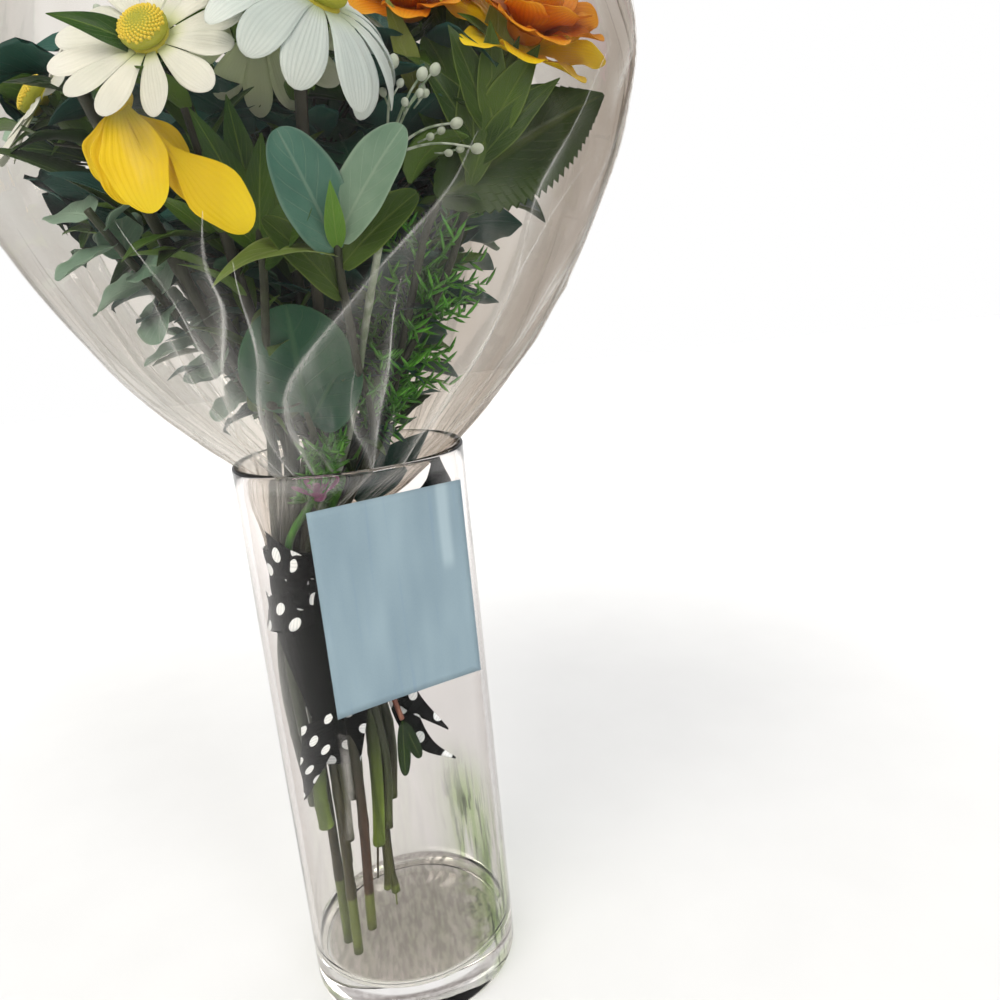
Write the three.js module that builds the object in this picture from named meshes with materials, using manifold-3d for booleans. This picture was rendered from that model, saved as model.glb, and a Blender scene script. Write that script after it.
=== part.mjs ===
// A mixed bouquet in clear film, tied with a dotted ribbon and standing in a glass vase.
// Millimetres, +Z up. The origin is the middle of the vase's underside, and -Y is the front.
import * as THREE from 'three';
import Module from 'manifold-3d';
import { mergeVertices } from 'three/addons/utils/BufferGeometryUtils.js';

const wasm = await Module();
wasm.setup();

// ---- Driving dimensions ----
const GAP = 0.35; // left free between two pieces that touch
const BLADE = 0.7; // thickness of leaves and petals
const VASE = { radius: 50, height: 259, wall: 3, floor: 16, foot: 4, bevel: 1.2, sides: 28 };
const NOTE = { turn: -69.9, shift: -6, width: 65, bottom: 163.7, top: 248, thick: 0.6 };
const TIE = { x: -23, y: -9, low: 198, high: 226 };
const FAN_FROM = 220; // height at which the stems start to spread
const NECK = 10; // straight end of a stem below its head
const SLOT = 4.4; // spacing of the stems where they are tied
const STEM = 2; // radius of a flower's stem
const TWIG = 1.8; // radius of a leafy stem
const FILM_WALL = 1.2;
const FILM_COLUMNS = 24;
const FILM_EDGE_WAVE = 9;

const FILM_LEAN_END = 257; // height above which the film is centred on the vase again

// Height, radius and depth of fold of the film, from the tie to the top edge.
const FILM = [
  [190, 18, 0.01], [198, 16.6, 0.01], [226, 16.8, 0.01], [240, 31, 0.035], [257, 45, 0.035],
  [262.6, 51.5, 0.035], [294, 82, 0.06], [334, 107.5, 0.06], [368, 123.5, 0.06], [403, 133, 0.06],
  [432, 126, 0.06], [498, 105, 0.06],
];

const COLOUR = {
  glass: 0xdfe9e6, note: 0xa9bcc6, film: 0xd9d6cc, ribbon: 0x141414, white: 0xf2f1ea,
  disc: 0xd8c43c, yellow: 0xe6b800, orange: 0xd9780f, pink: 0xb04a8c, stem: 0x5d7038,
  leaf: 0x3f6b2c, dark: 0x1f3d18, sage: 0x8fae94, teal: 0x1d4444, fern: 0x2f7d2a,
  stalk: 0x8a9a6a, bark: 0x7a4436,
};

// ---- Small tools ----
const V = (x, y, z) => new THREE.Vector3(x, y, z);
const at = (list) => V(...list);
const mix = (a, b, t) => a + (b - a) * t;
const radians = THREE.MathUtils.degToRad;

function randomFrom(seed) {
  let state = seed;
  return () => {
    state = (state * 16807) % 2147483647;
    return state / 2147483647;
  };
}

// A closed solid from a three.js geometry, turned the right way out.
function solid(geometry) {
  geometry.deleteAttribute('normal');
  geometry.deleteAttribute('uv');
  const merged = mergeVertices(geometry, 1e-4);
  const all = Array.from(merged.index.array);
  const corners = [];
  for (let i = 0; i < all.length; i += 3) {
    const [a, b, c] = all.slice(i, i + 3);
    if (a !== b && b !== c && c !== a) corners.push(a, b, c);
  }
  const vertProperties = merged.attributes.position.array;
  const made = (triVerts) => new wasm.Manifold(
    new wasm.Mesh({ numProp: 3, vertProperties, triVerts: Uint32Array.from(triVerts) }));
  const body = made(corners);
  return body.volume() > 0 ? body : made(corners.reverse());
}

const joined = (bodies) => wasm.Manifold.union(bodies);

// The largest connected body, with any sealed hollow filled and loose scraps dropped.
function whole(body) {
  return body.decompose().reduce((best, next) => (next.volume() > best.volume() ? next : best));
}

function geometryOf(body) {
  const mesh = body.getMesh();
  const geometry = new THREE.BufferGeometry();
  geometry.setAttribute('position', new THREE.BufferAttribute(mesh.vertProperties, 3));
  geometry.setIndex(new THREE.BufferAttribute(mesh.triVerts, 1));
  geometry.computeVertexNormals();
  return geometry;
}

// ---- Shapes ----
// Rows of { point, normal } become a closed sheet of even thickness, split alike on both faces.
function sheet(rows, thick) {
  const across = rows[0].length;
  const flat = rows.flat();
  const face = (sign) => flat.map(({ point, normal }) =>
    point.clone().addScaledVector(normal, (sign * thick) / 2).toArray());
  const under = flat.length;
  const index = [];
  const quad = (a, b, c, d) => index.push(a, b, c, a, c, d);
  for (let i = 0; i < rows.length - 1; i += 1) {
    for (let j = 0; j < across - 1; j += 1) {
      const k = i * across + j;
      quad(k, k + 1, k + across + 1, k + across);
      const m = k + under;
      index.push(m, m + across + 1, m + 1, m, m + across, m + across + 1);
    }
    const left = i * across;
    const right = left + across - 1;
    quad(left, left + across, left + across + under, left + under);
    quad(right + across, right, right + under, right + across + under);
  }
  const last = (rows.length - 1) * across;
  for (let j = 0; j < across - 1; j += 1) {
    quad(j + 1, j, j + under, j + 1 + under);
    quad(last + j, last + j + 1, last + j + 1 + under, last + j + under);
  }
  const geometry = new THREE.BufferGeometry();
  const points = [...face(1), ...face(-1)].flat();
  geometry.setAttribute('position', new THREE.Float32BufferAttribute(points, 3));
  geometry.setIndex(index);
  return solid(geometry);
}

// Outlines: half width, from 0 to 1, at a share t of a blade's length.
const pointed = (t) => Math.sin(Math.PI * Math.min(1, 0.05 + 0.94 * t ** 0.8));
const oval = (t) => Math.sqrt(Math.max(0.02, 1 - (2 * t - 1) ** 2));
const petal = (t) => Math.min(0.22 + 1.2 * t, 1.9 - 1.25 * t);
const broad = (t) => Math.min(0.16 + 1.7 * t, 1.75 - 1.2 * t);

// A leaf or petal: a rib that bends in one plane, with its edges raised to each side by `cup`.
// The rib starts along `along` and bends away from `face` by `bend` radians over its length.
function blade(spec, grow) {
  const {
    root, along, face, length, width, outline, bend = 0, cup = 0, rows = 3, teeth = 0,
  } = spec;
  const side = along.clone().cross(face);
  const count = teeth ? teeth * 2 : rows;
  const lines = [];
  for (let i = 0; i <= count; i += 1) {
    const t = i / count;
    const turn = bend * t;
    const radius = bend ? length / bend : 0;
    const forward = bend ? radius * Math.sin(turn) : length * t;
    const away = bend ? radius * (1 - Math.cos(turn)) : 0;
    const heading = along.clone().multiplyScalar(Math.cos(turn)).addScaledVector(face, -Math.sin(turn));
    const normal = face.clone().multiplyScalar(Math.cos(turn)).addScaledVector(along, Math.sin(turn));
    const reach = i === 0 ? -grow : i === count ? grow : 0;
    const rib = root.clone().addScaledVector(along, forward).addScaledVector(face, -away)
      .addScaledVector(heading, reach);
    const bite = teeth && i % 2 ? 0.86 : 1;
    const half = Math.max(0.3, (width / 2) * outline(t) * bite) + grow;
    lines.push((cup ? [-1, 0, 1] : [-1, 1]).map((u) => ({
      point: rib.clone().addScaledVector(side, u * half).addScaledVector(normal, cup * half * Math.abs(u)),
      normal,
    })));
  }
  return sheet(lines, BLADE + 2 * grow);
}

// A blade given by its two ends and the way its upper face looks.
function leafBetween({ root, tip, face, bend = 0.5, ...rest }, grow) {
  const chord = at(tip).sub(root);
  const length = chord.length() * (bend ? bend / 2 / Math.sin(bend / 2) : 1);
  const straight = chord.clone().normalize();
  const up = at(face);
  up.addScaledVector(straight, -up.dot(straight)).normalize();
  const along = straight.clone().multiplyScalar(Math.cos(bend / 2)).addScaledVector(up, Math.sin(bend / 2));
  const top = up.clone().multiplyScalar(Math.cos(bend / 2)).addScaledVector(straight, -Math.sin(bend / 2));
  return blade({ root, along, face: top, length, bend, ...rest }, grow);
}

// A round stalk through points, with a ring of its sides at each point.
function stalk(points, radius, grow, sides = 5) {
  const path = new THREE.CatmullRomCurve3(points.map((p) => p.clone()), false, 'centripetal');
  const ends = [path.points[0], path.points[points.length - 1]];
  const tangents = [path.getTangent(0), path.getTangent(1)];
  ends[0].addScaledVector(tangents[0], -grow);
  ends[1].addScaledVector(tangents[1], grow);
  path.getPointAt = (t, target) => path.getPoint(t, target);
  path.getTangentAt = (t, target) => path.getTangent(t, target);
  const ring = Array.from({ length: sides }, (_, i) => {
    const turn = (2 * Math.PI * i) / sides;
    return new THREE.Vector2((radius + grow) * Math.cos(turn), (radius + grow) * Math.sin(turn));
  });
  const steps = points.length - 1;
  return solid(new THREE.ExtrudeGeometry(new THREE.Shape(ring), { steps, extrudePath: path }));
}

// A three-sided needle from a root to a tip.
function needle(root, tip, radius, grow) {
  const axis = tip.clone().sub(root).normalize();
  const length = root.distanceTo(tip) + 2 * grow;
  const geometry = new THREE.CylinderGeometry(grow, radius + grow, length, 3, 1);
  geometry.applyQuaternion(new THREE.Quaternion().setFromUnitVectors(V(0, 1, 0), axis));
  const middle = root.clone().lerp(tip, 0.5);
  geometry.translate(middle.x, middle.y, middle.z);
  return solid(geometry);
}

// A ball squashed along an axis.
function ball(centre, axis, radius, height, grow, sides = 8, rings = 5) {
  const geometry = new THREE.SphereGeometry(1, sides, rings);
  geometry.rotateX(Math.PI / 2);
  geometry.scale(radius + grow, radius + grow, height + grow);
  geometry.applyQuaternion(new THREE.Quaternion().setFromUnitVectors(V(0, 0, 1), axis));
  geometry.translate(centre.x, centre.y, centre.z);
  return solid(geometry);
}

// ---- Where the stems run ----
// The bundle's middle and its spread at each height, from the feet to above the rim.
const BUNDLE = [
  { z: 16, x: -20.5, y: -11, spread: 1 },
  { z: 125, x: -16, y: -10, spread: 1.35 },
  { z: 198, x: TIE.x, y: TIE.y, spread: 1 },
  { z: 226, x: TIE.x, y: TIE.y, spread: 1 },
  { z: 264, x: -9, y: -4, spread: 1.85 },
];

function inBundle(slot, z) {
  const k = Math.max(0, Math.min(BUNDLE.length - 2, BUNDLE.findIndex((level) => level.z >= z) - 1));
  const [a, b] = [BUNDLE[k], BUNDLE[k + 1]];
  const t = (z - a.z) / (b.z - a.z);
  const spread = mix(a.spread, b.spread, t);
  return V(mix(a.x, b.x, t) + spread * slot.x, mix(a.y, b.y, t) + spread * slot.y, z);
}

// From foot to head: parallel through the tie, then straight to the head, arriving along `facing`.
function route(slot, foot, head, facing) {
  const levels = BUNDLE.map((level) => level.z);
  const low = [foot, ...levels.filter((z) => z > foot + 12 && z < head.z - 15)];
  const points = low.map((z) => inBundle(slot, z));
  const start = points[points.length - 1];
  const under = head.clone().addScaledVector(facing, -NECK);
  points.push(start.clone().lerp(under, 0.55), under, head);
  return points;
}

// Each stem's place in the tie: the nearest to the middle first, in rings of 1, 6, 12 and 18.
function giveSlots(stems) {
  const above = BUNDLE[BUNDLE.length - 1].z;
  const aim = ({ centre }) => centre.clone().sub(inBundle(V(0, 0, 0), Math.min(centre.z, above)))
    .divideScalar(centre.z - FAN_FROM);
  const angle = (s) => Math.atan2(aim(s).y, aim(s).x);
  const reach = (s) => Math.hypot(aim(s).x, aim(s).y);
  const left = [...stems].sort((a, b) => reach(a) - reach(b));
  for (let ring = 0; left.length; ring += 1) {
    const places = ring ? 6 * ring : 1;
    const group = left.splice(0, places).sort((a, b) => angle(a) - angle(b));
    const turnOf = (i, shift) => (2 * Math.PI * (Math.floor((i * places) / group.length) + shift)) / places;
    const miss = (shift) => group.reduce((sum, s, i) => sum - Math.cos(turnOf(i, shift) - angle(s)), 0);
    let best = 0;
    for (let shift = 1; shift < places; shift += 1) if (miss(shift) < miss(best)) best = shift;
    group.forEach((s, i) => {
      const turn = turnOf(i, best);
      s.slot = V(SLOT * ring * Math.cos(turn), SLOT * ring * Math.sin(turn), 0);
    });
  }
}

// ---- The blooms ----
// A layer of petals round a head: count, lift above flat in degrees, length, width, bend.
const DAISY = [
  { count: 12, lift: 12, length: 25, width: 9.5, bend: 0.35, start: 5, rows: 2, outline: petal }];
const DROOPING = [
  { count: 11, lift: 8, length: 29, width: 11, bend: 1.15, start: 5, outline: petal }];
const TULIP = [
  { count: 3, lift: 80, length: 33, width: 19, bend: -0.1, start: 2.6, outline: broad },
  { count: 3, lift: 64, length: 38, width: 25, bend: 0.25, start: 4.4, cup: 0.3, outline: broad },
];
const DOUBLE = [
  { count: 4, lift: 68, length: 18, width: 13, bend: -0.2, start: 3.4, rows: 2, outline: broad },
  { count: 6, lift: 30, length: 23, width: 17, bend: 0.4, start: 5.2, outline: broad },
];
const EDGE = [{ count: 5, lift: 14, length: 26, width: 14, bend: 0.3, start: 3, outline: broad }];
const SMALL = [
  { count: 8, lift: 48, length: 10, width: 3.4, bend: 0.2, start: 1.6, rows: 2, outline: petal }];
// Narrow leaves on a flower's stem.
const LANCE = { count: 4, from: 0.3, lift: 58, length: 34, width: 9, bend: 0.6, outline: pointed };
const SHORT = { count: 3, from: 0.45, lift: 50, length: 26, width: 10, bend: 0.5, outline: pointed };

const FLOWERS = [
  { name: 'daisy_1', kind: 'daisy', head: [-40, -88, 400], facing: [-0.25, -0.8, 0.55],
    foot: 16.9, ring: LANCE },
  { name: 'daisy_2', kind: 'daisy', head: [-9, -68, 411], facing: [-0.1, -0.92, -0.2],
    foot: 100, ring: LANCE },
  { name: 'daisy_3', kind: 'drooping', head: [9, -94, 406], facing: [0.45, -0.5, 0.75], foot: 33 },
  { name: 'daisy_4', kind: 'daisy', head: [-94, -4, 404], facing: [-0.75, -0.3, 0.6],
    foot: 130, ring: SHORT },
  { name: 'daisy_5', kind: 'daisy', head: [20, 86, 428], facing: [0.2, 0.75, 0.62], foot: 90, ring: SHORT },
  { name: 'yellow_1', kind: 'tulip', head: [-52, -84, 384], facing: [0.72, -0.2, -0.66], foot: 16.9 },
  { name: 'yellow_2', kind: 'tulip', head: [-58, 62, 396], facing: [-0.5, 0.5, 0.7],
    foot: 60, ring: SHORT },
  { name: 'orange_1', kind: 'double', head: [80, -54, 408], facing: [0.3, -0.62, 0.72], foot: 90,
    outer: 'yellow', ring: LANCE },
  { name: 'orange_2', kind: 'double', head: [42, -38, 421], facing: [0, -0.6, 0.8],
    foot: 140, ring: SHORT },
  { name: 'orange_3', kind: 'double', head: [-22, 14, 452], facing: [-0.1, 0.05, 1],
    foot: 145, ring: SHORT },
  { name: 'pink_1', kind: 'small', head: [-14, -30, 247], facing: [-0.1, -0.3, 0.95], foot: 150 },
  { name: 'pink_2', kind: 'double', head: [74, 50, 430], facing: [0.6, 0.4, 0.7], foot: 120, ring: SHORT },
];

const LAYERS = { daisy: DAISY, drooping: DROOPING, tulip: TULIP, double: DOUBLE, small: SMALL };
const HUB = {
  daisy: { radius: 6.4, height: 2.2 }, drooping: { radius: 6.4, height: 2.2 },
  tulip: { radius: 5, height: 2.2 }, double: { radius: 7, height: 5 }, small: { radius: 2.8, height: 2 },
};
const CUP_HEIGHT = 3; // green cup under each bloom
const DISC = { radius: 7, height: 2.4 };
const PETAL_COLOUR = { daisy: 'white', yellow: 'yellow', orange: 'orange', pink: 'pink' };

// Two directions square to a facing.
function sides(facing) {
  const first = V(0, 0, 1).cross(facing).normalize();
  return [first, facing.clone().cross(first)];
}

function petalRing(head, facing, layer, grow, shift) {
  const [x, y] = sides(facing);
  const { count, lift, start } = layer;
  return Array.from({ length: count }, (_, i) => {
    const turn = (2 * Math.PI * (i + shift)) / count;
    const out = x.clone().multiplyScalar(Math.cos(turn)).addScaledVector(y, Math.sin(turn));
    const tilt = radians(lift);
    const along = out.clone().multiplyScalar(Math.cos(tilt)).addScaledVector(facing, Math.sin(tilt));
    const face = facing.clone().multiplyScalar(Math.cos(tilt)).addScaledVector(out, -Math.sin(tilt));
    const root = head.clone().addScaledVector(out, start);
    return blade({ root, along, face, ...layer }, grow);
  });
}

function bloom(flower, layers, grow) {
  const { centre, axis, kind } = flower;
  const hub = ball(centre, axis, HUB[kind].radius, HUB[kind].height, grow, 6, 4);
  const rings = layers.flatMap((layer, k) => petalRing(centre, axis, layer, grow, 0.5 * k + 0.25));
  return joined([hub, ...rings]);
}

// ---- Leafy stems ----
// `leaves` grow from a share of the stem's upper part to a tip; `ring` leaves follow a rule along it.
const TO_FRONT = [0, -0.9, 0.45];
const SPRAYS = [
  { name: 'serrated_leaf_1', colour: 'dark', head: [44, -50, 354], facing: [0.5, -0.1, 0.85], foot: 150,
    leaves: [{ from: 1, tip: [111, -42, 388], face: [0.15, -0.85, 0.35], width: 42,
      bend: 0.45, cup: 0.15, outline: pointed, teeth: 8 }] },
  { name: 'serrated_leaf_2', colour: 'dark', head: [-56, -18, 348], facing: [-0.6, 0, 0.8], foot: 160,
    leaves: [{ from: 1, tip: [-110, -34, 384], face: [-0.5, -0.3, 0.8], width: 36,
      bend: 0.7, cup: 0.15, outline: pointed, teeth: 8 }] },
  { name: 'serrated_leaf_3', colour: 'dark', head: [24, 52, 352], facing: [0.1, 0.5, 0.85], foot: 155,
    leaves: [{ from: 1, tip: [48, 104, 392], face: [0.1, -0.4, 0.9], width: 38,
      bend: 0.7, cup: 0.15, outline: pointed, teeth: 8 }] },
  { name: 'sage_leaves_1', colour: 'sage', head: [5, -84, 340], facing: [0, -0.3, 0.95], foot: 85,
    leaves: [
      { from: 1, tip: [29, -98, 371], face: TO_FRONT, width: 15, outline: oval, rows: 4 },
      { from: 0.97, tip: [-9, -96, 373], face: TO_FRONT, width: 17, outline: oval, rows: 4 },
      { from: 0.92, tip: [34, -86, 352], face: TO_FRONT, width: 12, outline: pointed, rows: 4 },
      { from: 0.86, tip: [-33, -86, 335], face: TO_FRONT, width: 10, outline: pointed, rows: 4 },
      { from: 0.8, tip: [-18, -84, 346], face: TO_FRONT, width: 14, outline: oval },
    ] },
  { name: 'sage_leaves_2', colour: 'sage', head: [-24, 84, 380], facing: [-0.1, 0.4, 0.9], foot: 160,
    ring: { count: 7, from: 0.45, lift: 40, length: 34, width: 15, outline: oval } },
  { name: 'round_leaves_1', colour: 'sage', head: [-76, -46, 360], facing: [-0.4, -0.4, 0.8], foot: 140,
    ring: { count: 8, from: 0.35, lift: 22, length: 25, width: 19, outline: oval } },
  { name: 'round_leaves_2', colour: 'sage', head: [86, 6, 384], facing: [0.5, 0, 0.85], foot: 150,
    ring: { count: 7, from: 0.4, lift: 25, length: 22, width: 17, outline: oval } },
  { name: 'large_round_leaf', colour: 'leaf', head: [-14, -34, 282], facing: [-0.1, -0.2, 0.97], foot: 170,
    leaves: [
      { from: 1, tip: [-23, -46, 321], face: TO_FRONT, width: 32, outline: oval, rows: 4 },
      { from: 0.8, tip: [6, -42, 304], face: TO_FRONT, width: 27, outline: oval, rows: 4 },
    ] },
  { name: 'dim_leaves_1', colour: 'teal', head: [32, -22, 396], facing: [0.2, -0.1, 0.97], foot: 165,
    ring: { count: 6, from: 0.3, lift: 34, length: 52, width: 32, outline: pointed } },
  { name: 'dim_leaves_2', colour: 'teal', head: [-44, 6, 360], facing: [-0.3, 0, 0.9], foot: 165,
    ring: { count: 5, from: 0.3, lift: 30, length: 46, width: 30, outline: pointed } },
  { name: 'dim_leaves_3', colour: 'teal', head: [66, 4, 394], facing: [0.3, 0, 0.95], foot: 165,
    ring: { count: 4, from: 0.45, lift: 36, length: 48, width: 34, outline: pointed } },
  { name: 'lance_leaves_1', colour: 'leaf', head: [-19, -76, 350], facing: [0, -0.2, 0.97], foot: 150,
    leaves: [
      { from: 1, tip: [-22, -80, 386], face: TO_FRONT, width: 10, outline: pointed },
      { from: 0.97, tip: [-33, -84, 382], face: TO_FRONT, width: 10, outline: pointed },
      { from: 0.94, tip: [-13, -84, 374], face: TO_FRONT, width: 10, outline: pointed },
      { from: 0.9, tip: [-40, -84, 364], face: TO_FRONT, width: 9, outline: pointed },
      { from: 0.86, tip: [-1, -90, 352], face: TO_FRONT, width: 14, outline: oval },
    ] },
  { name: 'fern_1', colour: 'fern', head: [40, -30, 338], facing: [0.2, -0.1, 0.97], foot: 172,
    ring: { count: 26, from: 0.1, lift: 42, length: 22, needle: 0.9 } },
  { name: 'fern_2', colour: 'fern', head: [-14, 52, 344], facing: [-0.1, 0.3, 0.95], foot: 172,
    ring: { count: 22, from: 0.1, lift: 42, length: 20, needle: 0.9 } },
  { name: 'fern_3', colour: 'fern', head: [-9, -31, 267], facing: [0, -0.3, 0.95], foot: 190,
    ring: { count: 9, from: 0.55, lift: 20, length: 12, needle: 0.8 } },
];

// The part of a stem above the rim, where its leaves grow.
const upper = (points) => new THREE.CatmullRomCurve3(points.slice(-4), false, 'centripetal');

// Leaves of a rule: spaced from `from` to the tip, each a golden angle round from the last.
const GOLDEN = radians(137.5);
function ringLeaves(points, ring, grow) {
  const path = upper(points);
  const { count, from, lift } = ring;
  return Array.from({ length: count }, (_, i) => {
    const t = mix(from, 1, (i + 0.5) / count);
    const axis = path.getTangentAt(t);
    const [x, y] = sides(axis);
    const out = x.multiplyScalar(Math.cos(GOLDEN * i)).addScaledVector(y, Math.sin(GOLDEN * i));
    const tilt = radians(lift);
    const along = out.clone().multiplyScalar(Math.cos(tilt)).addScaledVector(axis, Math.sin(tilt));
    const face = axis.clone().multiplyScalar(Math.cos(tilt)).addScaledVector(out, -Math.sin(tilt));
    const root = path.getPointAt(t);
    const tip = root.clone().addScaledVector(along, ring.length);
    if (ring.needle) return needle(root, tip, ring.needle, grow);
    return blade({ root, along, face, bend: 0.5, ...ring }, grow);
  });
}

// Filler: thin stalks that fork, each with a small bud on its end.
const FILLERS = [
  { name: 'filler_1', head: [25, -72, 366], facing: [0.1, -0.2, 0.95], foot: 168,
    tips: [[30, -80, 393], [54, -80, 366], [38, -84, 388], [48, -80, 374], [44, -72, 392]] },
  { name: 'filler_2', head: [-52, 30, 412], facing: [-0.3, 0.2, 0.9], foot: 168,
    tips: [[-62, 26, 446], [-76, 34, 436], [-58, 44, 444], [-44, 34, 440], [-72, 16, 440]] },
];

// ---- Building ----
const group = new THREE.Group();
const placed = [];

function addMesh(name, body, colour, surface = {}) {
  const material = new THREE.MeshStandardMaterial({ color: COLOUR[colour], roughness: 0.6, ...surface });
  const mesh = new THREE.Mesh(geometryOf(body), material);
  mesh.name = name;
  group.add(mesh);
}

function boxesMeet(a, b) {
  return [0, 1, 2].every((k) => a.min[k] <= b.max[k] && b.min[k] <= a.max[k]);
}

// Keeps later pieces out of a piece: `make` builds it grown by the gap.
function keepClear(name, make) {
  const taken = make(GAP);
  placed.push({ name, taken, box: taken.boundingBox() });
}

// Adds a plant piece that stays out of all that is placed, on the stem that carries it, if any.
function grow(name, colour, make, inside, stem) {
  let body = make(0);
  const box = body.boundingBox();
  for (const other of placed) {
    if (other.name !== name && boxesMeet(box, other.box)) body = body.subtract(other.taken);
  }
  body = body.intersect(inside);
  if (stem) body = body.add(stem);
  keepClear(name, make);
  addMesh(name, whole(body), colour);
}

// The vase: a straight cylinder with a thick floor and a rounded rim.
function vase() {
  const { radius, height, wall, floor, foot, bevel, sides: count } = VASE;
  const inner = radius - wall;
  const bead = wall / 2;
  const rim = [0, 60, 120, 180].map((a) => new THREE.Vector2(
    radius - bead + bead * Math.cos(radians(a)), height - bead + bead * Math.sin(radians(a))));
  const profile = [
    new THREE.Vector2(0, 0), new THREE.Vector2(radius - foot, 0), new THREE.Vector2(radius - bevel, bevel),
    new THREE.Vector2(radius, foot), ...rim, new THREE.Vector2(inner, floor + 2 * wall),
    new THREE.Vector2(inner - wall, floor + wall / 2), new THREE.Vector2(inner - 3 * wall, floor),
    new THREE.Vector2(0, floor),
  ];
  const geometry = new THREE.LatheGeometry(profile, count);
  geometry.rotateX(Math.PI / 2);
  return solid(geometry);
}

// The paper note: a flat sheet that touches the outside of the vase along one line.
function note() {
  const { turn, shift, width, bottom, top, thick } = NOTE;
  const normal = V(Math.cos(radians(turn)), Math.sin(radians(turn)), 0);
  const side = V(-normal.y, normal.x, 0);
  const rows = [bottom, top].map((z) => [-0.5, 0.5].map((u) => ({
    point: normal.clone().multiplyScalar(VASE.radius + GAP + thick / 2)
      .addScaledVector(side, shift + u * width).setZ(z),
    normal,
  })));
  return sheet(rows, thick);
}

// The film's outer surface, moved in by `inset`: every second column is a fold that sinks in.
function filmRings(inset) {
  const random = randomFrom(7);
  const depth = Array.from({ length: FILM_COLUMNS }, (_, i) => (i % 2 ? 0.5 + random() : 0));
  const top = FILM.length - 1;
  return FILM.map(([z, radius, sink], row) => {
    const lean = THREE.MathUtils.clamp((FILM_LEAN_END - z) / (FILM_LEAN_END - TIE.high), 0, 1);
    return depth.map((d, i) => {
      const turn = (2 * Math.PI * i) / FILM_COLUMNS;
      const r = radius * (1 - sink * d) - inset;
      const lift = row === top ? FILM_EDGE_WAVE * Math.sin(3 * turn) * Math.cos(2 * turn) : 0;
      return V(TIE.x * lean + r * Math.cos(turn), TIE.y * lean + r * Math.sin(turn), z + lift);
    });
  });
}

function tube(rings, closeWith) {
  const count = rings[0].length;
  const points = rings.flat().flatMap((p) => p.toArray());
  const index = [];
  const last = closeWith ? rings.length : rings.length - 1;
  for (let i = 0; i < last; i += 1) {
    for (let j = 0; j < count; j += 1) {
      const [a, b] = [i * count + j, i * count + ((j + 1) % count)];
      const next = ((i + 1) % rings.length) * count;
      const [c, d] = [next + ((j + 1) % count), next + j];
      index.push(a, b, c, a, c, d);
    }
  }
  if (!closeWith) {
    const end = (rings.length - 1) * count;
    for (let j = 1; j < count - 1; j += 1) {
      index.push(0, j + 1, j, end, end + j, end + j + 1);
    }
  }
  const geometry = new THREE.BufferGeometry();
  geometry.setAttribute('position', new THREE.Float32BufferAttribute(points, 3));
  geometry.setIndex(index);
  return solid(geometry);
}

const filmOutside = (gap) => tube(filmRings(-gap), false);
const film = () => tube([...filmRings(0), ...filmRings(FILM_WALL).reverse()], true);

// All the room that a plant piece may fill: inside the film, and the vase below it.
function room() {
  const rings = filmRings(FILM_WALL + 2 * GAP);
  const below = [0, FILM[0][0] - 1].map((z) => rings[0].map((p) => {
    const out = V(p.x - TIE.x, p.y - TIE.y, 0).setLength(VASE.radius);
    return V(out.x, out.y, z);
  }));
  const above = rings[rings.length - 1].map((p) => p.clone().setZ(FILM[FILM.length - 1][0] + 60));
  return tube([...below, ...rings, above], false);
}

// A strip of ribbon through points, of the given width at each, with its width along `across`.
function strip({ points, across, widths }) {
  const wide = at(across).normalize();
  const rows = points.map((p, i) => {
    const before = at(points[Math.max(0, i - 1)]);
    const after = at(points[Math.min(points.length - 1, i + 1)]);
    const normal = after.sub(before).cross(wide).normalize();
    return [-0.5, 0.5].map((u) => ({ point: at(p).addScaledVector(wide, u * widths[i]), normal }));
  });
  return sheet(rows, RIBBON_THICK);
}

const RIBBON_THICK = 0.8;
const KNOT = V(-26, -29, 211);
const BAND = { top: TIE.high - 2, wall: 1, sides: 12 };
const STRIPS = [
  // the long panel, and the tail and the short end on its side of the knot
  { points: [[-28, -28.8, 214], [-29, -29.2, 165], [-28, -28.8, 141]], across: [0.8, -0.6, 0],
    widths: [26, 32, 24] },
  { points: [[-27, -29.4, 150], [-31, -26, 132], [-40, -18.5, 106]], across: [0.8, -0.5, 0.5],
    widths: [24, 19, 1.2] },
  { points: [[-27, -29, 216], [-34, -24, 224], [-38, -20, 233]], across: [0.4, -0.2, 0.9],
    widths: [16, 10, 1.2] },
  // the two tails on the right, and the end that rises between the film and the glass
  { points: [[-5, -12, 207], [3, -9, 168], [12, -8, 141], [28, -8, 122]], across: [0.62, 0, 0.78],
    widths: [10, 13, 14, 0.9] },
  { points: [[-5, -10, 200], [6, -5, 160], [10, -5, 130], [18, -6, 114], [30, -6, 105]],
    across: [0.7, 0, 0.7], widths: [10, 15, 17, 11, 0.9] },
  { points: [[-6, -5, 207], [12, 0, 213], [32, 4, 227], [41, 8, 243]], across: [-0.4, 0, 0.9],
    widths: [14, 16, 16, 8] },
];

function ribbon() {
  const inner = (FILM[2][1] + GAP) / Math.cos(Math.PI / BAND.sides);
  const outer = inner + BAND.wall;
  const ring = [[inner, TIE.low], [outer, TIE.low], [outer, BAND.top], [inner, BAND.top], [inner, TIE.low]];
  const band = new THREE.LatheGeometry(ring.map(([r, z]) => new THREE.Vector2(r, z)), BAND.sides);
  band.rotateX(Math.PI / 2);
  band.translate(TIE.x, TIE.y, 0);
  const knot = ball(KNOT, V(0, 0, 1), 6, 13, 0, 6, 5);
  return whole(joined([...STRIPS.map(strip), knot, solid(band)]).subtract(filmOutside(GAP)));
}

// A small reddish shoot that hangs beside the stems, with two leaves.
const SPRIG = {
  radius: 1.2, stalk: [[-4.9, -12.3, 172], [3, -12, 150], [7, -13, 134]],
  tips: [[5, -15, 106], [13, -12, 112]],
};

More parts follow.
